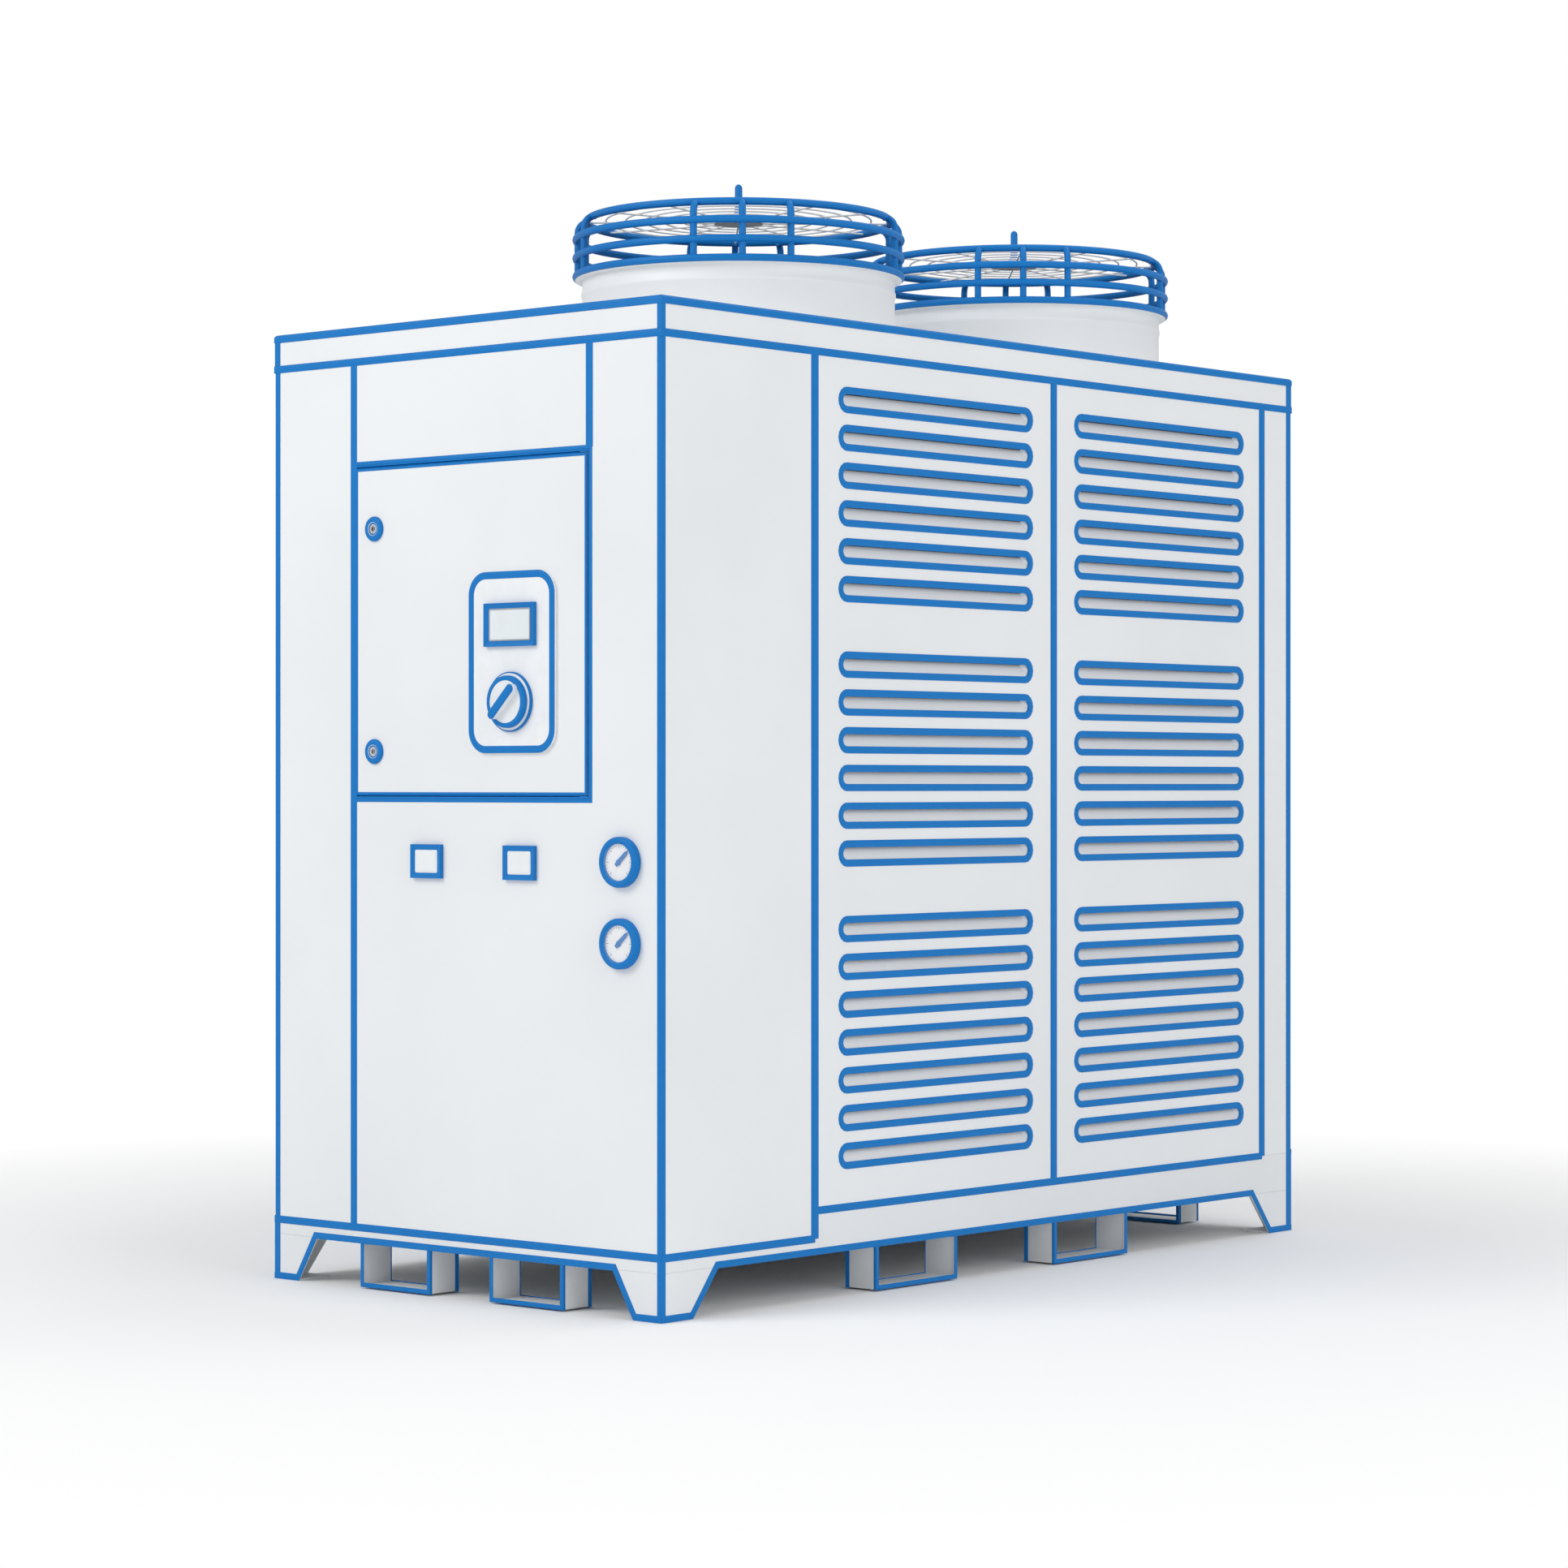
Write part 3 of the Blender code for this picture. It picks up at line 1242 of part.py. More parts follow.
def ring_of_wire(name, radius, centre, segments=RING_SEGMENTS, collection=HELPERS, material=None):
    bpy.ops.mesh.primitive_torus_add(
        major_segments=segments, minor_segments=WIRE_SIDES, major_radius=radius,
        minor_radius=WIRE, location=centre,
    )
    made = bpy.context.object
    mesh = made.data
    bpy.data.objects.remove(made, do_unlink=True)
    mesh.name = name
    return add(name, mesh, material, centre, collection=collection)


def ring_edge(radius, angle, segments=RING_SEGMENTS):
    """How far from its axis a ring's outer corner reaches where a wire meets it end on."""
    step = math.tau / segments
    off = angle % step - step / 2
    return (radius + WIRE) * math.cos(step / 2) / math.cos(off) + WIRE * abs(math.tan(off))


def guard_levels():
    """Height of the lowest ring, and of the grille on top."""
    lowest = ROOF_TOP + SEAT_GAP + SHROUD_HEIGHT + SEAT_GAP + WIRE
    return lowest, lowest + GUARD_SIDE_RINGS * GUARD_RING_PITCH


def fan_guard(name, x, y):
    """The side of the wire guard: rings on bars that bend in over a round shoulder."""
    lowest, top = guard_levels()
    guard = ring_of_wire(
        "fan_guard_" + name, GUARD_RADIUS, (x, y, lowest), collection=PARTS, material=TRIM_BLUE
    )
    for i in range(1, GUARD_SIDE_RINGS):
        level = lowest + i * GUARD_RING_PITCH
        fuse(guard, ring_of_wire(f"guard_ring_{name}_{i}", GUARD_RADIUS, (x, y, level)))
    bend = GUARD_SHOULDER
    bar_radius = GUARD_RADIUS - WIRE * 0.8
    section = [(bar_radius, lowest - WIRE * 0.6), (bar_radius, top - bend)]
    section += arc(bar_radius - bend, top - bend, bend, 0, 90, 2)[1:]
    for group in range(GUARD_GROUPS):
        for k, offset in enumerate(GUARD_BARS):
            angle = math.radians(GUARD_GROUP_TURN_DEG + group * 360 / GUARD_GROUPS + offset)
            section[-1] = (ring_edge(grille_radius(), angle) + SEAT_GAP, top)
            points = [
                (x + radius * math.cos(angle), y + radius * math.sin(angle), level)
                for radius, level in section
            ]
            bar = wire(f"guard_bar_{name}_{group}_{k}", points)
            fuse(guard, bar, solver="MANIFOLD")


def grille_radius():
    return GUARD_RADIUS - GUARD_SHOULDER - 3 * WIRE


def fan_grille(name, x, y):
    """The flat top of the guard: rings on spokes round a hub plate with its stud."""
    top = guard_levels()[1]
    half = GRILLE_HUB_THICKNESS / 2
    stud_top = STUD_HEIGHT
    hub = turned(
        "fan_grille_" + name,
        [
            (0, stud_top),
            (STUD_RADIUS * 0.6, stud_top - STUD_RADIUS * 0.2),
            (STUD_RADIUS, stud_top - STUD_RADIUS * 0.8),
            (STUD_RADIUS, half + STUD_RADIUS),
            (STUD_RADIUS * 2, half),
            (GRILLE_HUB_RADIUS, half),
            (GRILLE_HUB_RADIUS, -half),
            (0, -half),
        ],
        TRIM_BLUE, GRILLE_HUB_STEPS, at=(x, y, top),
    )
    spokes = []
    for i in range(GRILLE_SPOKES):
        angle = math.radians(GRILLE_TURN_DEG) + math.tau * i / GRILLE_SPOKES
        across = Vector((math.cos(angle), math.sin(angle), 0))
        centre = Vector((x, y, top - WIRE * 0.7))
        points = [centre + across * (GRILLE_HUB_RADIUS * 0.8), centre + across * grille_radius()]
        spokes.append(wire(f"grille_spoke_{name}_{i}", points))
    fuse(hub, *spokes, solver="MANIFOLD")
    for i, radius in enumerate((grille_radius(), *GRILLE_RING_RADII)):
        segments = RING_SEGMENTS - 4 * i
        ring = ring_of_wire(f"grille_ring_{name}_{i}", radius, (x, y, top), segments)
        fuse(hub, ring, solver="MANIFOLD")


def fans():
    for name, x, y in fan_places():
        fan_shroud(name, x, y)
        fan_motor(name, x, y)
        fan_rotor(name, x, y)
        fan_guard(name, x, y)
        fan_grille(name, x, y)


base_rails()
feet()
floor_pan()
front_panels()
front_instruments()
electrical_enclosure()
switchgear()
door_assembly()
side_panels("right", HALF_WIDTH, RIGHT)
side_panels("left", -HALF_WIDTH, LEFT)
rear_panel()
for port_name, port_x in zip(("water_inlet", "water_outlet"), port_places()):
    water_port(port_name, port_x)
bulkhead()
coil("condenser_coil_right", 1)
coil("condenser_coil_left", -1)
roof_cap()
fans()
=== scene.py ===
import json
from math import cos, pi, radians, sin, tau

import bmesh
import bpy
from mathutils import Matrix, Vector


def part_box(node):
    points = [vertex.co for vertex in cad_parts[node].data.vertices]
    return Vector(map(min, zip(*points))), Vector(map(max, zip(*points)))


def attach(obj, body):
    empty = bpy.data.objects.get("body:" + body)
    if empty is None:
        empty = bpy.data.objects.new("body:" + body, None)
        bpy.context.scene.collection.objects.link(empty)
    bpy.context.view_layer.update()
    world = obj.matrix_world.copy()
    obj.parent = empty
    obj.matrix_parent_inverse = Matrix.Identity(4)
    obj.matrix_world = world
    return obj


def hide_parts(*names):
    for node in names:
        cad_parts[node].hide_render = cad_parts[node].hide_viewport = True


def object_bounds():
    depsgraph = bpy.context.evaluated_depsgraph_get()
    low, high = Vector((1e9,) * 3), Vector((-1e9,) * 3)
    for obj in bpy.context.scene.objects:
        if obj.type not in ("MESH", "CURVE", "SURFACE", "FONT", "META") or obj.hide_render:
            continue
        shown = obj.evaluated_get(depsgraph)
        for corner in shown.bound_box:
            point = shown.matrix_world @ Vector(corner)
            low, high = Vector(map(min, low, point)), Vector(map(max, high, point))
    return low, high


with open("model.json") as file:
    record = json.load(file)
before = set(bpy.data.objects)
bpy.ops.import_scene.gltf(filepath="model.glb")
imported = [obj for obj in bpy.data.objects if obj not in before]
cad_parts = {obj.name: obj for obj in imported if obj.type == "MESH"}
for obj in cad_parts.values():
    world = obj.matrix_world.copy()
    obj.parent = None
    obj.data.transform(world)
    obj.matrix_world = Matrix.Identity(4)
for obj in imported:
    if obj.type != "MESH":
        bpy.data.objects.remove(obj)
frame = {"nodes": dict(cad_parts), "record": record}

CAD_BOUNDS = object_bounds()

# Cabinet, in metres
HALF_WIDTH = 0.53
HALF_LENGTH = 1.04
FRONT = -HALF_LENGTH
RAIL_BOTTOM = 0.0915
RAIL_TOP = 0.12
SILL_TOP = 0.174
PANEL_TOP = 1.834
ROOF_TOP = 1.9
CAP_ROUND = 0.014
STRIP_X = -0.298
FRONT_SECTION_Y = -0.603
PANEL_SEAM_Y = 0.1605
REAR_POST_Y = 0.924

# Feet: their width at the floor and at the rail
FOOT_SPREAD = {"front": (0.07, 0.122), "side": (0.085, 0.155)}

# Fork sleeves: half width and offset from the middle
SLEEVES = {"front": (0.0975, 0.18), "side": (0.1275, 0.29)}
SLEEVE_BOTTOM = 0.004
SLEEVE_DEPTH = 0.0775

# Trim
TRIM_WIDTH = 0.015
TRIM_HEIGHT = 0.0014
TRIM_SINK = 0.0003
UPRIGHT_WIDTH = {"front": 0.018, "rear": 0.018, "right": 0.022, "left": 0.022}
CORNER_REACH = {"front_right": 0.0105, "front_left": 0.016, "rear_right": 0.02, "rear_left": 0.0105}
PANEL_ROUND = 0.0045
FOLDED_ROUND = 0.001
EDGE_TRIM = (-0.003, 0.01)
FLOOR_GAP = 0.0004
CAP_BEAD_ROUND = 0.007
CAP_BEAD_RISE = 0.004
CAP_BEAD_DROP = 0.0125
CAP_BEAD_LAP = 0.006

# Louvre slots
SLOT_LENGTH = 0.608
SLOT_HEIGHT = 0.0375
SLOT_PITCH = 0.07365
SLOT_TOP = PANEL_TOP - 0.069
SLOT_GROUPS = (6, 6, 7)
SLOT_TRIM_WIDTH = 0.014
SLOT_TRIM_HEIGHT = 0.0018
SLOT_TRIM_SINK = 0.0025

# Electrical door, with places as (x, z)
DOOR_BAY_X = (STRIP_X, 0.346)
DOOR_BAY_Z = (0.97, 1.628)
DOOR_X = (-0.292, 0.34)
DOOR_Z = (0.976, 1.622)
LIP_FACE = -1.0137
SEAL_DEPTH = 0.014
PIVOT_LENGTH = 0.02
PIVOT_CAP = 0.0008
GASKET_INSET = 0.0095
CONTROL = (0.146, 1.231)
CONTROL_SIZE = (0.23, 0.348)
CONTROL_ROUND = 0.045
CONTROL_RIM = 0.014
CONTROL_FACE = FRONT - 0.0063
DISPLAY = (0.146, 1.3025)
SWITCH = (0.146, 1.155)
GRIP_SIZE = (0.086, 0.018)
GRIP_DEG = 45
LOCKS = {"upper": (-0.238, 1.501), "lower": (-0.238, 1.062)}

# Switchgear behind the door
GEAR_X = (-0.273, 0.321)
GEAR_Z = (0.995, 1.603)
GEAR_MIDDLE = (sum(GEAR_X) / 2, sum(GEAR_Z) / 2)
GEAR_FACE = -0.8237
GEAR_MARGIN = 0.025
GEAR_REACH = (GEAR_X[0] + GEAR_MARGIN, GEAR_X[1] - GEAR_MARGIN)
DUCT_HEIGHT = 0.04
DUCT_FACE = GEAR_FACE - 0.05
DUCT_SHEET = 0.0014
DUCT_FINGERS = 43
DUCT_FINGER = 0.0078
DEVICE_FACE = GEAR_FACE - 0.07
DEVICE_BACK = GEAR_FACE - 0.0072
TERMINAL_PITCH = 0.0062
ROW_PITCH = (GEAR_Z[1] - GEAR_Z[0] - DUCT_HEIGHT) / 3
ROW_MIDDLES = [GEAR_Z[0] + DUCT_HEIGHT / 2 + (row + 0.5) * ROW_PITCH for row in range(3)]
IN_ZINC, IN_GREY, IN_DARK, IN_PALE, IN_STEEL, IN_BLUE = range(6)

# Water ports on the rear and instruments on the front, with places as (x, z)
PORTS = {"inlet": (-0.12, 0.33), "outlet": (0.12, 0.33)}
PORT_FACE = HALF_LENGTH + 0.0003
PIPE_RADIUS = 0.03
PIPE_TOP = 0.0262
THREADS = 8
THREAD_START = 0.009
THREAD_PITCH = 0.0023
CAP_RIBS = 24
CAP_RIB = 0.0012
GAUGES = {"upper": (0.4304, 0.852), "lower": (0.4304, 0.7)}
DIAL_STEPS = 24
DIAL_SWEEP_DEG = (225, -45)
DIAL_MARK_END = 0.0322
NEEDLE_DEG = 42
LAMPS = {"left": (-0.087, 0.8475), "right": (0.1665, 0.8475)}
LENS_SIZE = (0.0628, 0.0458)

# Fans
FAN_X = 0.015
FAN_Y = {"front": -0.243, "rear": 0.695}
SHROUD_BASE = ROOF_TOP + 0.0003
SHROUD_RADIUS = 0.325
SHROUD_TOP = 2.045
ROTOR_LEVEL = 1.996
BLADES = 5
BLADE_REACH = (0.077, 0.314)
BLADE_CHORD = (0.15, 0.19)
BLADE_PITCH_DEG = (33, 17)
BLADE_SWEEP_DEG = 24
BLADE_CAMBER = 0.012
BLADE_THICKNESS = 0.0035
BLADE_STATIONS = 10
BLADE_PANELS = 12
GUARD_RADIUS = 0.338
GUARD_LEVELS = (2.0503, 2.0888, 2.1273)
SIDE_WIRE = 0.0078
CAGE_TURN_DEG = {"front": -47.2, "rear": -49.0}
UPRIGHT_BOTTOM = 2.047
UPRIGHTS_DEG = (-17, 0, 17)
GRILLE_LEVEL = 2.1658
GRILLE_RADIUS = 0.316
GRILLE_RINGS = (0.276, 0.235, 0.195, 0.155, 0.115, 0.08)
SPOKES = 12
TOP_WIRE = 0.002
HUB_RADIUS = 0.052
STUD_TOP = 2.2458

# Turns that bring a piece made for the front to another side
TURNS = {"front": 0, "right": pi / 2, "rear": pi, "left": -pi / 2}
FACE_OF = {"front": HALF_LENGTH, "rear": HALF_LENGTH, "right": HALF_WIDTH, "left": HALF_WIDTH}
FORWARD = (0, -1, 0)
BACKWARD = (0, 1, 0)
UP = (0, 0, 1)
SMOOTH_DEG = 35

# Stage
PURE_WHITE = (1.0, 1.0, 1.0, 1.0)
FLOOR_HALF = 40.0
FLOOR_FADE = (1.45, 3.3)
AMBIENT = 0.55
CAMERA_PLACE = (5.592, -6.546, 0.998)
CAMERA_AIM = (-0.6542, 0.7563, 0)
CAMERA_LENS = 92.85


# Materials


def new_material(name, colour, roughness, metallic=0):
    material = bpy.data.materials.new(name)
    material.use_nodes = True
    material.diffuse_color = (*colour, 1.0)
    socket(material, "Base Color").default_value = (*colour, 1.0)
    socket(material, "Roughness").default_value = roughness
    socket(material, "Metallic").default_value = metallic
    return material


def socket(material, name):
    return material.node_tree.nodes["Principled BSDF"].inputs[name]


def node(owner, kind, **values):
    """A node in the tree of a material or the world, with its properties and inputs set."""
    made = owner.node_tree.nodes.new(kind)
    for key, value in values.items():
        if hasattr(made, key):
            setattr(made, key, value)
        else:
            made.inputs[key].default_value = value
    return made


def link(owner, source, target):
    owner.node_tree.links.new(source, target)


def own_place(material, kind, **values):
    """A node that reads the object's own coordinates, in metres."""
    place = node(material, "ShaderNodeTexCoord")
    made = node(material, kind, **values)
    link(material, place.outputs["Object"], made.inputs["Vector"])
    return made


def noise(material, scale, detail=3.0):
    """Noise in features per metre."""
    made = own_place(material, "ShaderNodeTexNoise", Scale=scale, Detail=detail)
    return made.outputs["Fac"]


def spread(material, value, low, high, start=0, end=1.0):
    """Maps a value from the range of start to end onto the range of low to high."""
    ends = {"From Min": start, "From Max": end, "To Min": low, "To Max": high}
    made = node(material, "ShaderNodeMapRange", **ends)
    link(material, value, made.inputs["Value"])
    return made.outputs["Result"]


def blend_colour(material, factor, first, second):
    """Drives the base colour from one colour to another."""
    made = node(material, "ShaderNodeMix", data_type="RGBA")
    made.inputs[6].default_value = (*first, 1.0)
    made.inputs[7].default_value = (*second, 1.0)
    link(material, factor, made.inputs[0])
    link(material, made.outputs[2], socket(material, "Base Color"))


def tint(material, factor, colour, tone):
    """Lets the colour vary between itself and a darker tone."""
    blend_colour(material, factor, [part * tone for part in colour], colour)


def gloss(material, value):
    link(material, value, socket(material, "Roughness"))


def bump(material, height, strength, distance):
    made = node(material, "ShaderNodeBump", Strength=strength, Distance=distance)
    link(material, height, made.inputs["Height"])
    link(material, made.outputs["Normal"], socket(material, "Normal"))


def powder_coat(name, colour, roughness, tone=0.965, peel=0.1, grain=700.0):
    """Sprayed powder coat: orange peel, faint clouds of tone and a slightly uneven gloss."""
    material = new_material(name, colour, roughness)
    tint(material, spread(material, noise(material, 2.3, 4.0), 0, 1.0, 0.35, 0.65), colour, tone)
    gloss(material, spread(material, noise(material, 9.0), roughness - 0.05, roughness + 0.07, 0.3, 0.7))
    bump(material, noise(material, grain, 2.0), peel, 0.0006)
    return material


def galvanised(name, colour):
    """Zinc coated sheet with its spangle."""
    material = new_material(name, colour, 0.42, 0.85)
    spangle = own_place(material, "ShaderNodeTexVoronoi", Scale=70.0)
    split = node(material, "ShaderNodeSeparateColor")
    link(material, spangle.outputs["Color"], split.inputs["Color"])
    tint(material, split.outputs["Red"], colour, 0.78)
    gloss(material, spread(material, split.outputs["Red"], 0.34, 0.52))
    bump(material, noise(material, 240.0), 0.12, 0.0005)
    return material


def moulded(name, colour, roughness, grain=1500.0, strength=0.08):
    """Moulded plastic with a fine spark-eroded grain."""
    material = new_material(name, colour, roughness)
    tint(material, spread(material, noise(material, 30.0), 0, 1.0, 0.3, 0.7), colour, 0.95)
    gloss(material, spread(material, noise(material, 60.0, 2.0), roughness - 0.04, roughness + 0.05))
    bump(material, noise(material, grain, 2.0), strength, 0.0003)
    return material


def finned(name, pitch=0.0026):
    """Thin aluminium fins, edge on, with painted shade: near-black stripes where the shadowed gaps between
    them fall.
    """
    material = new_material(name, (0.7, 0.72, 0.74), 0.4, 0.7)
    split = own_place(material, "ShaderNodeSeparateXYZ")
    count = node(material, "ShaderNodeMath", operation="MULTIPLY")
    count.inputs[1].default_value = 1 / pitch
    link(material, split.outputs["Y"], count.inputs[0])
    saw = node(material, "ShaderNodeMath", operation="FRACT")
    link(material, count.outputs[0], saw.inputs[0])
    # Stripe mask: where it is 1 the colour goes near-black, which is painted shade for the gaps between the
    # fins. The same mask drives the bump.
    edge = spread(material, saw.outputs[0], 0, 1.0, 0.3, 0.42)
    blend_colour(material, edge, (0.74, 0.76, 0.78), (0.06, 0.07, 0.08))
    bump(material, edge, -0.4, 0.0006)
    return material


def clear(name, colour, cover, roughness=0.05):
    """A thin clear pane with faint smears."""
    material = new_material(name, colour, roughness)
    socket(material, "Alpha").default_value = cover
    gloss(material, spread(material, noise(material, 40.0), roughness, roughness + 0.06, 0.4, 0.8))
    return material


WHITE = powder_coat("white_powder_coat", (0.84, 0.86, 0.875), 0.44)
BASE = powder_coat("pale_grey_powder_coat", (0.81, 0.83, 0.845), 0.5, tone=0.95, peel=0.14, grain=520.0)
BLUE = moulded("blue_trim", (0.004, 0.185, 0.55), 0.5)
BLUE_WIRE = powder_coat("blue_coated_wire", (0.004, 0.185, 0.55), 0.48, tone=0.92, peel=0.08, grain=900.0)
for trim in (BLUE, BLUE_WIRE):
    socket(trim, "Specular IOR Level").default_value = 0.22
ZINC = galvanised("galvanised_steel", (0.62, 0.64, 0.66))
BLACK = powder_coat("black_coated_steel", (0.045, 0.05, 0.055), 0.48, tone=0.8, peel=0.2, grain=420.0)
FINS = finned("aluminium_fins")
PALE = moulded("pale_plastic", (0.82, 0.85, 0.88), 0.34)
PLATE = moulded("control_plate_film", (0.88, 0.9, 0.92), 0.3, grain=2500.0, strength=0.03)
DIAL = moulded("dial_face", (0.9, 0.91, 0.92), 0.55, grain=3000.0, strength=0.02)
SCREEN = moulded("unlit_screen", (0.8, 0.85, 0.87), 0.16, grain=4000.0, strength=0.01)
LENS = moulded("lamp_lens", (0.86, 0.89, 0.91), 0.14, grain=260.0, strength=0.1)
GLASS = clear("gauge_glass", (0.97, 0.98, 1.0), 0.06)
STEEL = galvanised("plated_steel", (0.7, 0.71, 0.72))
DARK = moulded("dark_plastic", (0.035, 0.04, 0.045), 0.42)
GREY = moulded("grey_plastic", (0.36, 0.38, 0.4), 0.45)

# Each slot's material for the nodes, then the others that its pieces can start with
SLOTS = {
    "panel_white": [WHITE], "base_grey": [BASE], "trim_blue": [BLUE, BLUE_WIRE, SCREEN, DIAL, GLASS],
    "zinc": [ZINC, STEEL], "dark_plastic": [BLACK, DARK, GREY], "fin_metal": [FINS],
    "pale_plastic": [PALE, LENS],
}


def dress_nodes():
    """Each node of the frame gets the worked-up material of its slot."""
    slots = {part["node"]: part["material_slot"] for part in frame["record"]["subparts"]}
    for name, obj in frame["nodes"].items():
        material = PLATE if name == "control_plate" else SLOTS[slots[name]][0]
        obj.data.materials.clear()
        obj.data.materials.append(material)


# Making pieces


def add_object(name, data):
    made = bpy.data.objects.new(name, data)
    bpy.context.scene.collection.objects.link(made)
    return made


def piece(name, bm, *materials, body="cabinet", replaces=None, place=None):
    """An object from a mesh under construction, put in its place and riding on a body."""
    if place:
        bmesh.ops.transform(bm, matrix=place, verts=bm.verts)
    bmesh.ops.recalc_face_normals(bm, faces=bm.faces)
    mesh = bpy.data.meshes.new(name)
    bm.to_mesh(mesh)
    bm.free()
    for material in materials:
        mesh.materials.append(material)
    mesh.shade_smooth()
    mesh.set_sharp_from_angle(angle=radians(SMOOTH_DEG))
    obj = add_object(name, mesh)
    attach(obj, body)
    if replaces:
        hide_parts(replaces)


def polar(radius, angle):
    return radius * cos(angle), radius * sin(angle)


def circle(radius, count):
    """Points spaced evenly round a circle."""
    return [polar(radius, tau * k / count) for k in range(count)]


def arc_points(x, z, radius, start, end, segments):
    """Points along an arc, with its ends in degrees."""
    turns = [radians(start + (end - start) * k / segments) for k in range(segments + 1)]
    return [(x + radius * cos(turn), z + radius * sin(turn)) for turn in turns]


def rounded_outline(width, height, radius, segments=8):
    x, z = width / 2 - radius, height / 2 - radius
    return (
        arc_points(x, z, radius, 0, 90, segments) + arc_points(-x, z, radius, 90, 180, segments)
        + arc_points(-x, -z, radius, 180, 270, segments) + arc_points(x, -z, radius, 270, 360, segments)
    )


def rectangle(x, z):
    """The corners of a span in x and a span in z."""
    return [(x[0], z[0]), (x[1], z[0]), (x[1], z[1]), (x[0], z[1])]


def upright(outline, y=0, middle=(0, 0)):
    """Puts an outline of (across, up) points into an upright plane, round a middle."""
    return [(middle[0] + a, y, middle[1] + b) for a, b in outline]


def level(outline, z):
    """Puts an outline of (x, y) points at a height."""
    return [(a, b, z) for a, b in outline]


def out_of_front(x, y, z):
    """Brings local Z to point out of the front, at a place."""
    return Matrix.Translation((x, y, z)) @ Matrix.Rotation(pi / 2, 4, "X")


def turned(degrees):
    return Matrix.Rotation(radians(degrees), 4, "Z")


def around_axis(radius, degrees, height):
    """Moves to a place at a radius and an angle about local Z."""
    return Matrix.Translation((*polar(radius, radians(degrees)), height))


def onto_side(side):
    """Brings what is made in the front's plane, at y 0, onto a side of the cabinet."""
    return Matrix.Rotation(TURNS[side], 4, "Z") @ Matrix.Translation((0, -FACE_OF[side], 0))


def vertices(bm, points):
    return [bm.verts.new(point) for point in points]


def skin(bm, rings, material=0, closed=False, caps=(0, -1)):
    """Joins rings of vertices with faces. An open skin is closed at the rings named as caps."""
    faces = []
    for ring, later in zip(rings, rings[1:] + rings[:1] if closed else rings[1:]):
        for k in range(len(ring)):
            j = (k + 1) % len(ring)
            faces.append((ring[k], ring[j], later[j], later[k]))
    if not closed:
        faces += [rings[k] for k in caps]
    for face in faces:
        bm.faces.new(list(dict.fromkeys(face))).material_index = material


def sweep(bm, path, section, out=FORWARD, closed=False, material=0):
    """Carries a closed section along a path that lies in a plane facing out, with mitred corners."""
    out = Vector(out)
    path = [Vector(point) for point in path]
    count = len(path)
    rings = []
    for i, point in enumerate(path):
        before = (point - path[i - 1]).normalized() if i or closed else None
        after = (path[(i + 1) % count] - point).normalized() if i < count - 1 or closed else None
        first, second = before or after, after or before
        across = out.cross((first + second).normalized())
        stretch = 1 / max(across.dot(out.cross(first)), 0.3)
        rings.append(vertices(bm, [point + across * (a * stretch) + out * u for a, u in section]))
    skin(bm, rings, material, closed)


def tube(bm, points, radius, sides=8, material=0):
    """A round wire through points in space, with closed ends."""
    points = [Vector(point) for point in points]
    rings = []
    normal = None
    for i, point in enumerate(points):
        along = (points[min(i + 1, len(points) - 1)] - points[max(i - 1, 0)]).normalized()
        if normal is None:
            normal = along.orthogonal().normalized()
        normal = (normal - along * normal.dot(along)).normalized()
        other = along.cross(normal)
        rings.append(vertices(bm, [point + normal * a + other * b for a, b in circle(radius, sides)]))
    skin(bm, rings, material)


def revolve(bm, profile, steps=64, material=0, matrix=None, closed=False):
    """Turns (radius, height) points about Z. A point on the axis is one vertex."""
    matrix = matrix or Matrix()
    rings = []
    for radius, height in profile:
        points = level(circle(radius, steps), height) if radius else [(0, 0, height)]
        ring = vertices(bm, [matrix @ Vector(point) for point in points])
        rings.append(ring if radius else ring * steps)
    skin(bm, rings, material, closed, caps=())


def dome(width, height, sink=0.0005):
    """Section of a strip with a rounded top, as (across, out) points."""
    half = width / 2
    return [
        (-half, -sink), (half, -sink), (half, height * 0.35), (half * 0.82, height * 0.85),
        (0, height), (-half * 0.82, height * 0.85), (-half, height * 0.35),
    ]


def block(bm, middle, size, depth, chamfer=0, material=0):
    """A block round an (x, z) middle, of a width and height, from its front to its back."""
    (x0, x1), (z0, z1) = [(at - extent / 2, at + extent / 2) for at, extent in zip(middle, size)]
    y0, y1 = depth
    c = chamfer
    face = rectangle((x0 + c, x1 - c), (y0 + c, y1 - c))
    bottom, top = [vertices(bm, level(face, z)) for z in (z0, z1)]
    rings = [bottom, top]
    if c:
        girth = [(x0 + c, y0), (x1 - c, y0), (x1, y0 + c), (x1, y1 - c),
                 (x1 - c, y1), (x0 + c, y1), (x0, y1 - c), (x0, y0 + c)]
        twice = (0, 1, 1, 2, 2, 3, 3, 0)
        rings = [[bottom[k] for k in twice]]
        rings += [vertices(bm, level(girth, z)) for z in (z0 + c, z1 - c)]
        rings.append([top[k] for k in twice])
    skin(bm, rings, material)


def screw_head(bm, place, radius, material, flip=False):
    """A domed screw head with a recess, facing the front, or the rear when flipped."""
    matrix = out_of_front(*place)
    if flip:
        matrix = matrix @ Matrix.Rotation(pi, 4, "X")
    rise = radius * 0.45
    profile = [
        (0, rise * 0.55), (radius * 0.16, rise * 0.55), (radius * 0.2, rise), (radius * 0.72, rise * 0.85),
        (radius, rise * 0.25), (radius, 0), (0, 0),
    ]
    revolve(bm, profile, 14, material, matrix)


# Cover strips in the seams between panels


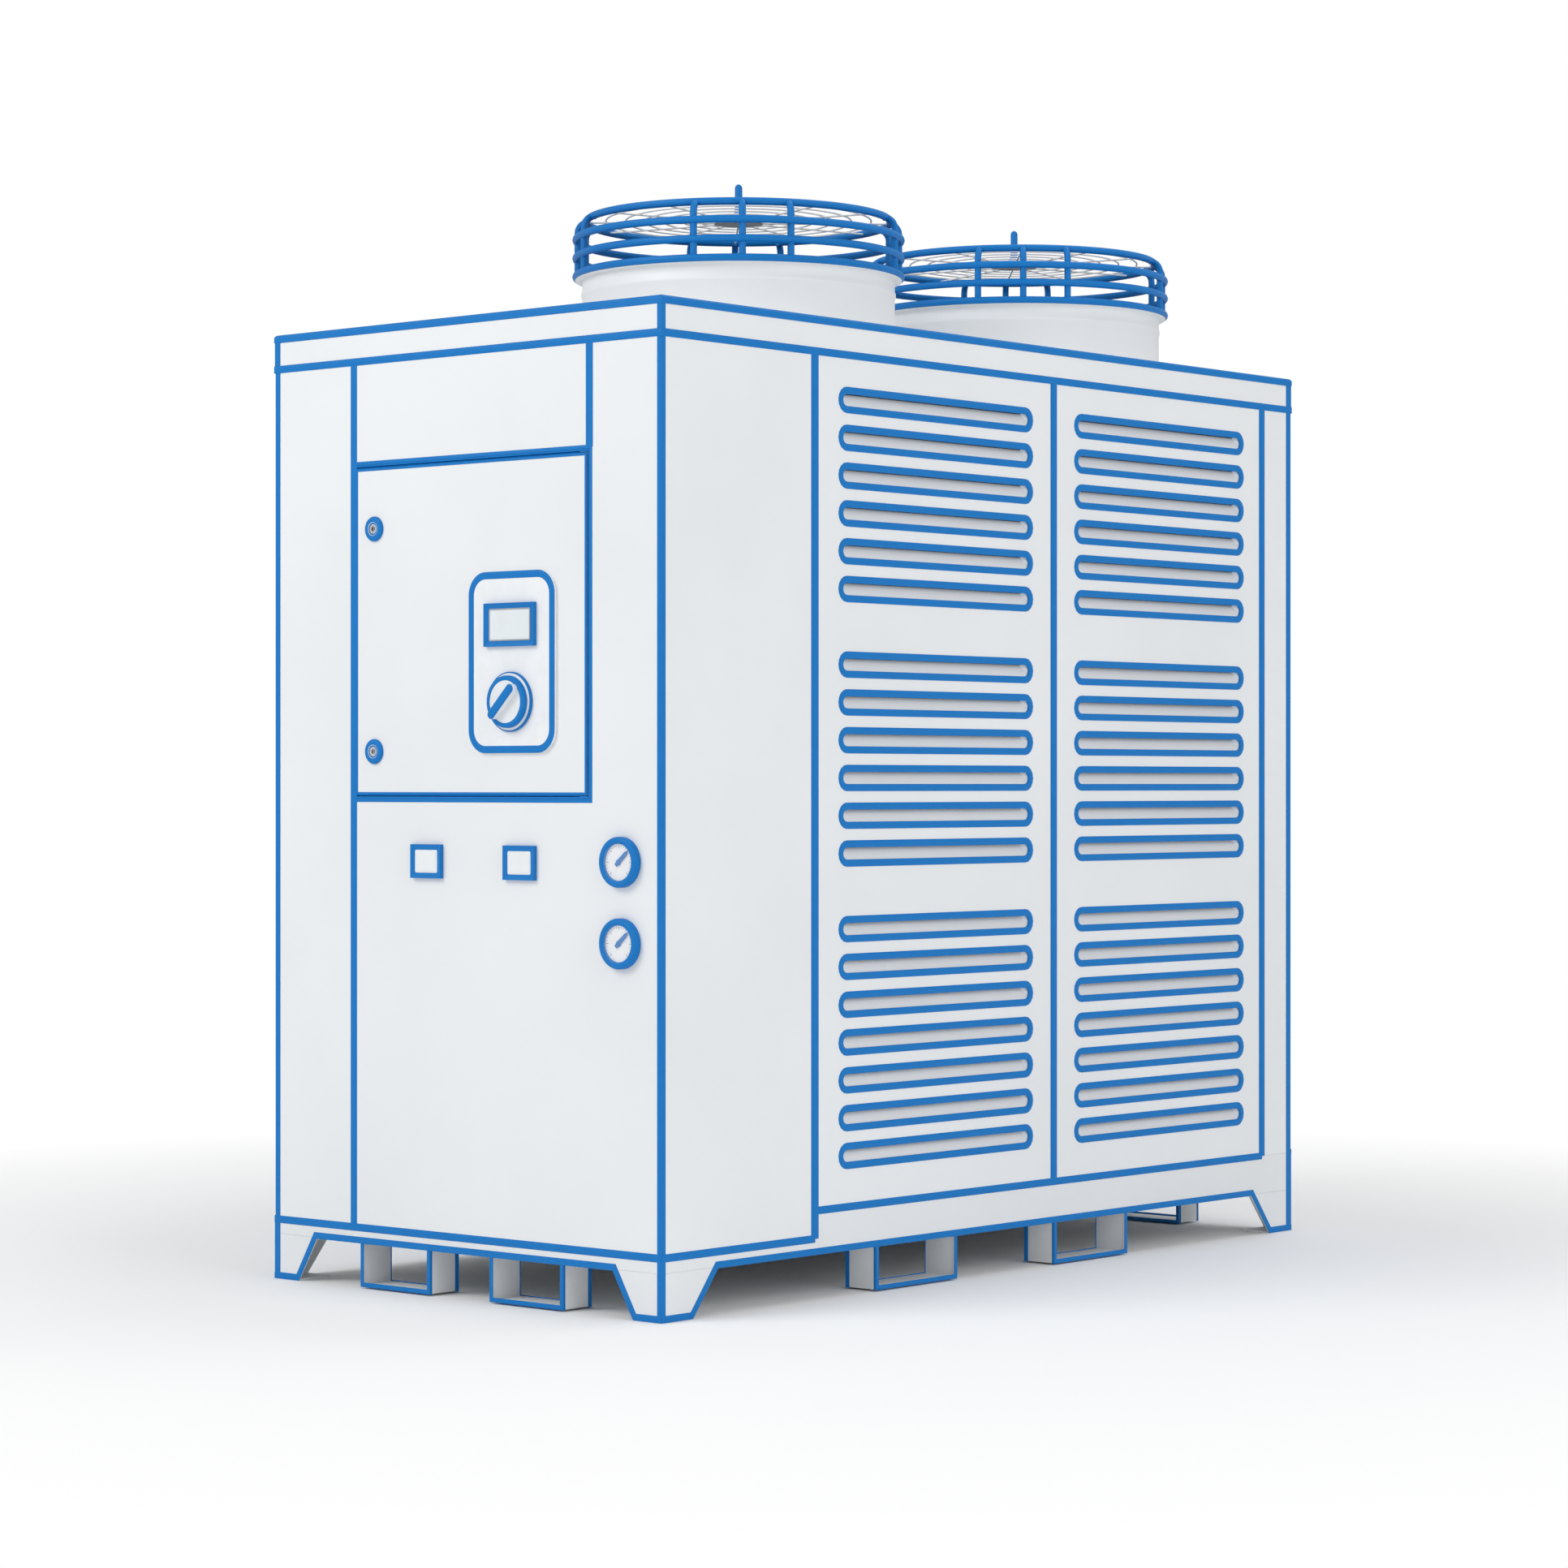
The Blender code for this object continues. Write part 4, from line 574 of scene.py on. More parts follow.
def seam_lines(side):
    """Lines in a side's plane, as pairs of (along, height) points."""
    if side == "front":
        return [
            ((STRIP_X, RAIL_TOP), (STRIP_X, PANEL_TOP)),
            ((DOOR_BAY_X[1], DOOR_BAY_Z[1] + 0.004), (DOOR_BAY_X[1], PANEL_TOP)),
            ((-HALF_WIDTH, RAIL_TOP), (HALF_WIDTH, RAIL_TOP)),
        ]
    if side == "rear":
        return [((-HALF_WIDTH, SILL_TOP), (HALF_WIDTH, SILL_TOP))]
    mirror = 1 if side == "right" else -1
    uprights = [(FRONT_SECTION_Y, RAIL_TOP), (PANEL_SEAM_Y, SILL_TOP), (REAR_POST_Y, SILL_TOP)]
    lines = [((mirror * y, low), (mirror * y, PANEL_TOP)) for y, low in uprights]
    lines.append(((-mirror * HALF_LENGTH, RAIL_TOP), (mirror * FRONT_SECTION_Y, RAIL_TOP)))
    lines.append(((mirror * FRONT_SECTION_Y, SILL_TOP), (mirror * REAR_POST_Y, SILL_TOP)))
    return lines


def seam_trim(side):
    bm = bmesh.new()
    for start, end in seam_lines(side):
        width = TRIM_WIDTH if start[1] == end[1] else UPRIGHT_WIDTH[side]
        sweep(bm, upright((start, end)), dome(width, TRIM_HEIGHT))
    piece("seam_trim_" + side, bm, BLUE, place=onto_side(side))


def sleeve_rim(bm, corners, y, out, width, hook, shoulder):
    """An edge strip round the mouth of a fork sleeve, hooked over its wall."""
    top = TRIM_HEIGHT * 0.9
    section = [
        (-0.0012, -hook), (TRIM_SINK, -hook - 0.0004), (TRIM_SINK, -TRIM_SINK), (width, -TRIM_SINK),
        (width, TRIM_HEIGHT * shoulder), (width - 0.0012, top), (0, top),
        (-0.0012, -TRIM_SINK),
    ]
    sweep(bm, upright(corners, y), section, out)


def base_edge_trim(side):
    """Edge strip along a side's rail and down its two feet, and round the mouths of its fork sleeves."""
    bm = bmesh.new()
    kind = "front" if side in ("front", "rear") else "side"
    half = HALF_WIDTH if kind == "front" else HALF_LENGTH
    foot_bottom, foot_top = FOOT_SPREAD[kind]
    low, high = EDGE_TRIM
    floor = FLOOR_GAP - low
    line = [
        (-half, floor), (-half + foot_bottom, floor), (-half + foot_top, RAIL_BOTTOM),
        (half - foot_top, RAIL_BOTTOM), (half - foot_bottom, floor), (half, floor),
    ]
    section = [
        (low, 0), (high, -TRIM_SINK), (high, TRIM_HEIGHT * 0.35), (high - 0.002, TRIM_HEIGHT),
        (low + 0.002, TRIM_HEIGHT), (low, TRIM_HEIGHT * 0.5),
    ]
    sweep(bm, upright(line), section)
    reach, offset = SLEEVES[kind]
    top = RAIL_BOTTOM + low - 0.0002
    for middle in (-offset, offset):
        left, right = middle - reach, middle + reach
        corners = [(left, top), (left, SLEEVE_BOTTOM), (right, SLEEVE_BOTTOM), (right, top)]
        sleeve_rim(bm, corners, 0, FORWARD, 0.0082, 0.005, 0.4)
        sleeve_rim(bm, corners[::-1], SLEEVE_DEPTH, BACKWARD, 0.006, 0.009, 0.5)
    piece("base_edge_trim_" + side, bm, BLUE, place=onto_side(side))


def round_cabinet(z):
    """A path round the cabinet's upright corners."""
    return level(rectangle((-HALF_WIDTH, HALF_WIDTH), (-HALF_LENGTH, HALF_LENGTH)), z)


def roof_seam_trim():
    """One strip round the cabinet under the roof cap."""
    bm = bmesh.new()
    half, height, sink = TRIM_WIDTH / 2, TRIM_HEIGHT, 0.0005
    section = [
        (-height, -half * 0.82), (-height, half * 0.82), (-height * 0.35, half), (sink, half),
        (sink, -half), (-height * 0.35, -half),
    ]
    sweep(bm, round_cabinet(PANEL_TOP), section, UP, closed=True)
    piece("seam_trim_roof", bm, BLUE)


def cap_edge_trim():
    """A bead that squares off the roof cap's rounded upper edge."""
    bm = bmesh.new()
    sunk = 0.0008
    lap = CAP_ROUND + CAP_BEAD_LAP
    section = [(lap, 0.0006), (CAP_ROUND + 0.002, CAP_BEAD_RISE * 0.8)]
    bead = CAP_BEAD_ROUND
    section += arc_points(bead - TRIM_HEIGHT, CAP_BEAD_RISE - bead, bead, 90, 180, 6)
    section += [(-TRIM_HEIGHT, 0.0013 - CAP_BEAD_DROP), (-TRIM_SINK, -CAP_BEAD_DROP), (sunk, -CAP_BEAD_DROP)]
    section += arc_points(CAP_ROUND, -CAP_ROUND, CAP_ROUND - sunk, 172, 90, 6) + [(lap, -sunk)]
    sweep(bm, round_cabinet(ROOF_TOP), section, UP, closed=True)
    piece("cap_edge_trim", bm, BLUE)


def corner_trim(name, corner, low, high, radius):
    """A strip folded round an upright corner of the cabinet."""
    end, side = corner.split("_")
    sign_x = 1 if side == "right" else -1
    sign_y = 1 if end == "rear" else -1
    reach, out = CORNER_REACH[corner], TRIM_HEIGHT * 0.6
    deep = radius * 0.53
    outline = [(out, -reach)] + arc_points(-radius, -radius, radius + out, 0, 90, 5) + [(-reach, out)]
    outline += [(-reach, -0.0006), (-radius, -0.001), (-deep, -deep), (-0.001, -radius), (-0.0006, -reach)]
    outline = [(sign_x * (HALF_WIDTH + a), sign_y * (HALF_LENGTH + b)) for a, b in outline]
    bm = bmesh.new()
    skin(bm, [vertices(bm, level(outline, z)) for z in (low, high)])
    piece(name, bm, BLUE)


def seams():
    for side in TURNS:
        seam_trim(side)
        base_edge_trim(side)
    roof_seam_trim()
    cap_edge_trim()
    half = TRIM_WIDTH / 2
    cap_top = ROOF_TOP - CAP_BEAD_DROP + TRIM_SINK
    for corner in CORNER_REACH:
        low = RAIL_TOP if corner.startswith("front") else SILL_TOP
        corner_trim("corner_trim_" + corner, corner, low, PANEL_TOP - half, PANEL_ROUND)
        corner_trim("foot_corner_trim_" + corner, corner, FLOOR_GAP, low, FOLDED_ROUND)
        corner_trim("cap_corner_trim_" + corner, corner, PANEL_TOP + half, cap_top, FOLDED_ROUND)


# Louvre slots


def slot_rows():
    """The slots' middle heights, with one row left out between groups."""
    rows, place = [], 0
    for group in SLOT_GROUPS:
        for _ in range(group):
            rows.append(SLOT_TOP - SLOT_HEIGHT / 2 - place * SLOT_PITCH)
            place += 1
        place += 1
    return rows


def slot_trims(name, side, start, end):
    """Edge strips round the slots of the louvre panel from one seam to another."""
    bm = bmesh.new()
    mirror = 1 if side == "right" else -1
    middle = mirror * (start + end) / 2
    radius = SLOT_HEIGHT / 2
    reach = SLOT_LENGTH / 2 - radius
    section = dome(SLOT_TRIM_WIDTH, SLOT_TRIM_HEIGHT, SLOT_TRIM_SINK)
    for z in slot_rows():
        outline = arc_points(middle - reach, z, radius, 90, 270, 8)
        outline += arc_points(middle + reach, z, radius, -90, 90, 8)
        sweep(bm, upright(outline), section, closed=True)
    piece(name + side, bm, BLUE, place=onto_side(side))


def all_slot_trims():
    for side in ("right", "left"):
        slot_trims("slot_trims_front_", side, FRONT_SECTION_Y, PANEL_SEAM_Y)
        slot_trims("slot_trims_rear_", side, PANEL_SEAM_Y, REAR_POST_Y)


# Electrical door


def bay_seal():
    """A bead round the door bay, thinner at the hinge edge."""
    bm = bmesh.new()
    bay = upright(rectangle(DOOR_BAY_X, DOOR_BAY_Z), FRONT)
    for path, width in ((bay[2:] + bay[:2], 0.0036), (bay[1:3], 0.0024)):
        wall = [
            (-0.0001, -SEAL_DEPTH), (-0.0001, 0.0003), (width * 0.35, 0.0013), (width * 0.85, 0.0006),
            (width, -0.002), (width, 0.002 - SEAL_DEPTH),
        ]
        sweep(bm, path, wall)
    lip = [(-0.0075, -0.0004), (-0.0075, 0.0006), (-0.006, 0.0012), (-0.0008, 0.0013), (0.0001, 0.0003),
           (0.0001, -0.0004)]
    sweep(bm, bay, lip, closed=True)
    piece("door_bay_seal", bm, BLUE)


def edge_seal():
    """A thin bead on the door's edge, cut back at the pivots."""
    bm = bmesh.new()
    wall = [(0.0002, -SEAL_DEPTH), (0.0002, -0.0016), (-0.001, -0.0005), (-0.0018, -0.0018),
            (-0.0018, 0.002 - SEAL_DEPTH)]
    (x0, x1), (z0, z1) = DOOR_X, DOOR_Z
    clear_of_pivot = x1 - PIVOT_LENGTH - 0.003
    around = [(clear_of_pivot, z1), (x0, z1), (x0, z0), (clear_of_pivot, z0)]
    for line in (around, [(x1, z0 + 0.003), (x1, z1 - 0.003)]):
        sweep(bm, upright(line, FRONT), wall)
    face = [(0.006, -0.0004), (0.006, 0.0006), (0.0042, 0.001), (0.0014, 0.0007), (0.0003, -0.0008),
            (0.001, -0.001)]
    sweep(bm, upright(rectangle(DOOR_X, DOOR_Z), FRONT), face, closed=True)
    piece("door_edge_seal", bm, BLUE, body="door")


def pivot_caps():
    bm = bmesh.new()
    for low, high in zip(sorted((DOOR_BAY_Z[0], DOOR_Z[1])), sorted((DOOR_Z[0], DOOR_BAY_Z[1]))):
        middle = (DOOR_X[1] - PIVOT_LENGTH / 2, (low + high) / 2)
        size = (PIVOT_LENGTH - 0.0004, high - low - 0.001)
        block(bm, middle, size, (FRONT, FRONT + PIVOT_CAP), 0.0002)
    piece("door_pivot_caps", bm, BLUE)


def door_gasket():
    """A foam gasket on the enclosure's lip."""
    bm = bmesh.new()
    x = (DOOR_BAY_X[0] + GASKET_INSET, DOOR_BAY_X[1] - GASKET_INSET)
    z = (DOOR_BAY_Z[0] + GASKET_INSET, DOOR_BAY_Z[1] - GASKET_INSET)
    sweep(bm, upright(rectangle(x, z), LIP_FACE), dome(0.006, 0.0042, 0), closed=True)
    piece("door_gasket", bm, DARK)


def rear_housings():
    """Housings of the display and the main switch, inside the door."""
    bm = bmesh.new()
    inner = FRONT + 0.0022
    x, z = DISPLAY
    block(bm, DISPLAY, (0.112, 0.062), (inner, inner + 0.02), 0.003)
    for k in range(10):
        block(bm, (x - 0.0345 + k * 0.008, z), (0.003, 0.024), (inner + 0.0195, inner + 0.0206), 0, 1)
    block(bm, SWITCH, (0.066, 0.066), (inner, inner + 0.014), 0.003)
    block(bm, SWITCH, (0.048, 0.048), (inner + 0.013, inner + 0.021), 0.002, 1)
    for corner in upright(rectangle((-0.027, 0.027), (-0.027, 0.027)), inner + 0.014, SWITCH):
        screw_head(bm, corner, 0.0035, 2, flip=True)
    piece("door_rear_housings", bm, GREY, DARK, STEEL, body="door")


def control_plate_rim():
    bm = bmesh.new()
    width, height = CONTROL_SIZE
    outline = rounded_outline(width - CONTROL_RIM, height - CONTROL_RIM, CONTROL_ROUND - CONTROL_RIM / 2, 10)
    sweep(bm, upright(outline, CONTROL_FACE, CONTROL), dome(CONTROL_RIM, 0.001), closed=True)
    piece("control_plate_rim", bm, BLUE, body="door")


def display_screen():
    """The unlit screen with its soft-cornered mask, set in the display's frame."""
    bm = bmesh.new()
    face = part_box("display")[0][1] + 0.0034
    bm.faces.new(vertices(bm, upright(rounded_outline(0.1105, 0.062, 0.004, 5), face, DISPLAY)))
    mask = upright(rounded_outline(0.1075, 0.059, 0.003, 5), face, DISPLAY)
    sweep(bm, mask, dome(0.0026, 0.0007), closed=True, material=1)
    piece("display_screen", bm, SCREEN, GREY, body="door")


def switch_escutcheon(place):
    bm = bmesh.new()
    ring = [(0.055, 0), (0.0575, 0), (0.0575, 0.0048), (0.057, 0.0062), (0.056, 0.0066),
            (0.055, 0.0062)]
    revolve(bm, ring, 72, closed=True)
    base = [(0, 0.0068), (0.053, 0.0068), (0.0548, 0.006), (0.0548, 0), (0, 0)]
    revolve(bm, base, 72, 1)
    piece("switch_escutcheon", bm, BLUE, PALE, body="door", replaces="switch_rosette", place=place)


def main_switch():
    """The knob with its grip bar across it, and a ring round it."""
    place = out_of_front(SWITCH[0], CONTROL_FACE - 0.0003, SWITCH[1])
    switch_escutcheon(place)
    bm = bmesh.new()
    rim = [(0.0408, 0.0168), (0.0412, 0.0176), (0.047, 0.0176), (0.049, 0.017), (0.05, 0.0152),
           (0.0502, 0.0074)]
    revolve(bm, [(0, 0.0168), rim[0]], 72)
    revolve(bm, rim, 72, 1)
    revolve(bm, [rim[-1], (0, 0.0074)], 72)
    bmesh.ops.remove_doubles(bm, verts=bm.verts, dist=1e-6)
    length, width = GRIP_SIZE
    outline = []
    for a, b in rounded_outline(length, width, width * 0.46, 6):
        outline.append((a, b * (1.0 - 0.1 * cos(pi * a / length))))
    rings = []
    for scale, height in ((1.0, 0.012), (1.0, 0.029), (0.965, 0.0308), (0.8, 0.032)):
        shorter = 1 - (1 - scale) * 0.22
        rings.append(vertices(bm, [(a * shorter, b * scale, height) for a, b in outline]))
    skin(bm, rings[:2], caps=())
    skin(bm, rings[1:], 1, caps=(-1,))
    bm.faces.new(rings[0]).material_index = 1
    piece("main_switch_grip", bm, PALE, BLUE, body="main_switch", replaces="main_switch_handle",
          place=place @ turned(GRIP_DEG))


def lock(side):
    """A bezel round the lock, and the turning core with its recessed face and key bit."""
    x, z = LOCKS[side]
    place = out_of_front(x, FRONT, z)
    bm = bmesh.new()
    bezel = [
        (0.013, 0), (0.0245, 0), (0.0245, 0.003), (0.0236, 0.0046), (0.0206, 0.0062), (0.0186, 0.0066),
        (0.0148, 0.0066), (0.0134, 0.006), (0.013, 0.0046),
    ]
    revolve(bm, bezel, 48, closed=True)
    piece(f"lock_{side}_bezel", bm, BLUE, body="door", place=place)
    bm = bmesh.new()
    revolve(bm, [(0, -0.0015), (0.0046, -0.0015), (0.005, 0.0047), (0.0094, 0.0049)], 40)
    rim = [(0.0094, 0.0049), (0.0098, 0.0054), (0.0112, 0.0054), (0.0121, 0.0044), (0.0121, 0.003)]
    revolve(bm, rim, 40, 1)
    piece(f"lock_{side}_core_face", bm, STEEL, BLUE, body="lock_" + side, place=place)
    bm = bmesh.new()
    block(bm, LOCKS[side], (0.002, 0.0096), (FRONT - 0.004, FRONT + 0.001), 0.0004)
    piece(f"lock_{side}_key_bit", bm, STEEL, body="lock_" + side)


# Switchgear behind the door, seen when the door is open


def wiring_duct(bm, middle):
    """A slotted duct with a snap-on lid."""
    left, right = GEAR_REACH
    width = right - left
    place = (GEAR_MIDDLE[0], middle)
    half = DUCT_HEIGHT / 2
    block(bm, place, (width, DUCT_HEIGHT), (GEAR_FACE - 0.002, GEAR_FACE), 0, IN_GREY)
    block(bm, place, (width, DUCT_HEIGHT + 0.0016), (DUCT_FACE, DUCT_FACE + 0.0022), 0.0007, IN_GREY)
    for side in (-half, half):
        lip = (DUCT_FACE + 0.001, DUCT_FACE + 0.009)
        block(bm, (GEAR_MIDDLE[0], middle + side), (width, 0.0016), lip, 0, IN_GREY)
    pitch = (width - DUCT_FINGER) / (DUCT_FINGERS - 1)
    inside = half - DUCT_SHEET / 2
    depth = (DUCT_FACE + 0.008, GEAR_FACE - 0.001)
    for k in range(DUCT_FINGERS):
        for side in (-inside, inside):
            finger = (left + k * pitch + DUCT_FINGER / 2, middle + side)
            block(bm, finger, (DUCT_FINGER, DUCT_SHEET), depth, 0, IN_GREY)


def mounting_rail(bm, middle):
    """A top-hat rail."""
    half = [(0.0175, 0.0075), (0.0175, 0.0065), (0.0133, 0.0065), (0.0123, 0)]
    under = [(0.0115, 0.001), (0.0125, 0.0075)]
    section = half + [(-a, u) for a, u in reversed(half)] + [(-a, u) for a, u in reversed(under)] + under
    sweep(bm, upright([(x, middle) for x in GEAR_REACH], GEAR_FACE), section, material=IN_ZINC)


def terminal_screws(bm, left, width, count, face, heights, radius=0.0036):
    """Rows of screws on square washers, spaced over a device's width."""
    for k in range(count):
        x = left + width * (k + 0.5) / count
        for height in heights:
            block(bm, (x, height), (radius * 3, radius * 3), (face - 0.0006, face + 0.001), 0, IN_GREY)
            screw_head(bm, (x, face - 0.0006, height), radius, IN_STEEL)


def circuit_breaker(bm, left, middle, width=0.054, height=0.105):
    """A motor protection switch: dark body, pale nose and a turning knob."""
    x = left + width / 2
    front = DEVICE_FACE + 0.016
    nose = DEVICE_FACE + 0.005
    knob = (x, middle - 0.004)
    block(bm, (x, middle), (width, height), (front, DEVICE_BACK), 0.0015, IN_DARK)
    block(bm, (x, middle), (width - 0.004, 0.056), (nose, front + 0.004), 0.0015, IN_PALE)
    rounded = [(0, 0.004), (0.01, 0.004), (0.0112, 0.003), (0.0115, 0)]
    revolve(bm, rounded, 32, IN_DARK, out_of_front(knob[0], nose, knob[1]))
    block(bm, knob, (0.0036, 0.019), (nose - 0.0072, nose - 0.002), 0.0006, IN_DARK)
    block(bm, (left + 0.013, middle + 0.0175), (0.01, 0.007), (nose - 0.0006, nose + 0.001), 0, IN_BLUE)
    terminal_screws(bm, left, width, 3, front, (middle - 0.04, middle + 0.04))


def contactor(bm, left, middle, width=0.075, height=0.085):
    """A contactor: dark base, stepped pale front and the slide that shows its state."""
    place = (left + width / 2, middle)
    face = DEVICE_FACE
    front = face + 0.024
    block(bm, place, (width, height), (front, DEVICE_BACK), 0.0015, IN_DARK)
    block(bm, place, (width - 0.006, 0.052), (face + 0.01, front + 0.004), 0.0015, IN_PALE)
    block(bm, place, (width - 0.026, 0.04), (face + 0.001, face + 0.012), 0.0015, IN_PALE)
    block(bm, place, (0.016, 0.01), (face - 0.0004, face + 0.003), 0.0006, IN_DARK)
    terminal_screws(bm, left, width, 4, front, (middle - 0.034, middle + 0.034))


def controller(bm, left, middle, width=0.252, height=0.09, terminals=22):
    """The unit's controller: a pale case with slits and two rows of plug-in terminals."""
    place = (left + width / 2, middle)
    face = DEVICE_FACE
    front = face + 0.012
    block(bm, place, (width, height), (front, DEVICE_BACK), 0.003, IN_PALE)
    block(bm, place, (width - 0.02, 0.048), (face + 0.002, front + 0.003), 0.0025, IN_PALE)
    for k in range(16):
        slit = (left + 0.151 + k * 0.0052, middle)
        block(bm, slit, (0.002, 0.03), (face + 0.0014, face + 0.003), 0, IN_DARK)
    window = (left + 0.057, middle + 0.002)
    block(bm, window, (0.07, 0.024), (face + 0.0012, face + 0.003), 0.0006, IN_DARK)
    pitch = (width - 0.02) / terminals
    row = height / 2 - 0.0095
    for k in range(terminals):
        x = left + 0.01 + (k + 0.45) * pitch
        for z in (middle - row, middle + row):
            block(bm, (x, z), (pitch * 0.9, 0.013), (front - 0.006, front + 0.001), 0.0006, IN_BLUE)
            screw_head(bm, (x, front - 0.006, z), 0.0024, IN_STEEL)


def terminal_blocks(bm, left, middle, count):
    """Rail terminals, thin slices with a screw at each end, between two end stops."""
    width = TERMINAL_PITCH * 0.93
    foot = GEAR_FACE - 0.03
    for k in range(count):
        x = left + k * TERMINAL_PITCH + width / 2
        part = IN_BLUE if k % 5 == 4 else IN_PALE
        block(bm, (x, middle), (width, 0.048), (foot, DEVICE_BACK), 0.0005, part)
        block(bm, (x, middle), (width, 0.026), (foot - 0.012, foot + 0.001), 0.0005, part)
        for z in (middle - 0.0185, middle + 0.0185):
            screw_head(bm, (x, foot, z), 0.0022, IN_STEEL)
    for x in (left - 0.005, left + count * TERMINAL_PITCH + 0.005):
        block(bm, (x, middle), (0.008, 0.044), (foot - 0.004, DEVICE_BACK), 0.001, IN_DARK)


def gear_corners(margin):
    """Places near the plate's four corners."""
    return rectangle((GEAR_X[0] + margin, GEAR_X[1] - margin), (GEAR_Z[0] + margin, GEAR_Z[1] - margin))


def switchgear():
    bm = bmesh.new()
    size = (GEAR_X[1] - GEAR_X[0], GEAR_Z[1] - GEAR_Z[0])
    block(bm, GEAR_MIDDLE, size, (GEAR_FACE, GEAR_FACE + 0.003), 0.0004, IN_ZINC)
    for x, z in gear_corners(GEAR_MARGIN / 2):
        screw_head(bm, (x, GEAR_FACE, z), 0.0065, IN_STEEL)
    post = GEAR_MARGIN * 2 / 3
    for place in gear_corners(GEAR_MARGIN):
        block(bm, place, (post, post), (GEAR_FACE + 0.002, GEAR_FACE + 0.0127), 0.001, IN_ZINC)
    for row in range(4):
        wiring_duct(bm, GEAR_Z[0] + DUCT_HEIGHT / 2 + row * ROW_PITCH)
    for middle in ROW_MIDDLES:
        mounting_rail(bm, middle)
    low, centre, high = ROW_MIDDLES
    first = GEAR_X[0] + 2 * GEAR_MARGIN
    for k in range(5):
        circuit_breaker(bm, first + k * 0.0605, low)
    for k in range(4):
        contactor(bm, first + k * 0.084, centre)
    controller(bm, first, high)
    terminal_blocks(bm, 0.11, low, 22)
    terminal_blocks(bm, 0.148, centre, 14)
    terminal_blocks(bm, 0.062, high, 26)
    piece("switchgear_assembly", bm, ZINC, GREY, DARK, PALE, STEEL, BLUE, replaces="switchgear_plate")


# Water ports on the rear


def port_fitting(kind, place):
    """A screwed collar and a threaded pipe end."""
    bm = bmesh.new()
    collar = [(0.03, 0), (0.048, 0), (0.048, 0.0046), (0.0466, 0.006), (0.035, 0.006),
              (0.033, 0.0072), (0.03, 0.0074)]
    revolve(bm, collar, 64, closed=True)
    pipe = [(0, -0.04), (PIPE_RADIUS, -0.04), (PIPE_RADIUS, THREAD_START)]
    for k in range(THREADS):
        height = THREAD_START + k * THREAD_PITCH
        pipe += [(PIPE_RADIUS, height + 0.0004), (PIPE_RADIUS - 0.0012, height + 0.0012),
                 (PIPE_RADIUS, height + 0.002)]
    pipe += [(PIPE_RADIUS, PIPE_TOP), (0, PIPE_TOP)]
    revolve(bm, pipe, 56)
    head = [(0, 0.0016), (0.0017, 0.0016), (0.0019, 0.0034), (0.0036, 0.0034), (0.0042, 0.0028),
            (0.0042, 0)]
    for k in range(4):
        revolve(bm, head, 20, 1, around_axis(0.0408, 45 + 90 * k, 0.006))
    piece(f"water_{kind}_fitting", bm, ZINC, STEEL, replaces=f"water_{kind}", place=place)


def port_cap(kind, place):
    """A ribbed blanking cap on the pipe's end."""
    bm = bmesh.new()
    profile = [
        (0.0305, PIPE_TOP, 0), (0.0345, PIPE_TOP, 1.0), (0.0345, 0.0405, 1.0), (0.033, 0.0432, 0.5),
        (0.0305, 0.0438, 0),
    ]
    rings = []
    for radius, height, share in profile:
        radii = [radius, radius + CAP_RIB * share, radius + CAP_RIB * share, radius] * CAP_RIBS
        points = [polar(out, tau * k / len(radii)) for k, out in enumerate(radii)]
        rings.append(vertices(bm, level(points, height)))
    skin(bm, rings)
    piece(f"water_{kind}_cap", bm, BLUE, place=place)


def water_port(kind):
    x, z = PORTS[kind]
    place = Matrix.Translation((x, PORT_FACE, z)) @ Matrix.Rotation(-pi / 2, 4, "X")
    port_fitting(kind, place)
    port_cap(kind, place)


# Instruments on the front


def gauge_case(name, place):
    bm = bmesh.new()
    bezel = [
        (0.04, 0.0003), (0.0475, 0.0003), (0.0475, 0.0118), (0.0468, 0.0138), (0.0448, 0.0153),
        (0.0415, 0.016), (0.038, 0.0156), (0.0356, 0.0142), (0.0346, 0.012), (0.0344, 0.0088),
        (0.04, 0.0088),
    ]
    revolve(bm, bezel, 80, closed=True)
    revolve(bm, [(0.04, 0.001), (0.04, -0.032), (0, -0.032)])
    piece(f"gauge_{name}_case", bm, BLUE, replaces=f"pressure_gauge_{name}", place=place)


def gauge_dial(name, place):
    """A white dial, with longer marks at every fourth step."""
    bm = bmesh.new()
    revolve(bm, [(0, 0.0092), (0.035, 0.0092)])
    start, end = DIAL_SWEEP_DEG
    for k in range(DIAL_STEPS + 1):
        ahead, aside = polar(1.0, radians(start + k * (end - start) / DIAL_STEPS))
        inner, half = (0.0262, 0.0008) if k % 4 == 0 else (0.029, 0.00045)
        mark = rectangle((inner, DIAL_MARK_END), (-half, half))
        mark = [(r * ahead - w * aside, r * aside + w * ahead) for r, w in mark]
        bm.faces.new(vertices(bm, level(mark, 0.0094))).material_index = 1
    piece(f"gauge_{name}_dial", bm, DIAL, GREY, place=place)


def gauge_needle(name, place):
    bm = bmesh.new()
    outline = [(-0.009, 0.0034), (-0.009, -0.0034), (-0.002, -0.0044), (0.026, -0.0036), (0.0318, 0),
               (0.026, 0.0036), (-0.002, 0.0044)]
    skin(bm, [vertices(bm, level(outline, height)) for height in (0.0105, 0.0117)])
    bmesh.ops.transform(bm, matrix=turned(NEEDLE_DEG), verts=bm.verts)
    revolve(bm, [(0, 0.0131), (0.0044, 0.0127), (0.0056, 0.0114), (0.0056, 0.0094)], 24)
    piece(f"gauge_{name}_needle", bm, BLUE, place=place)


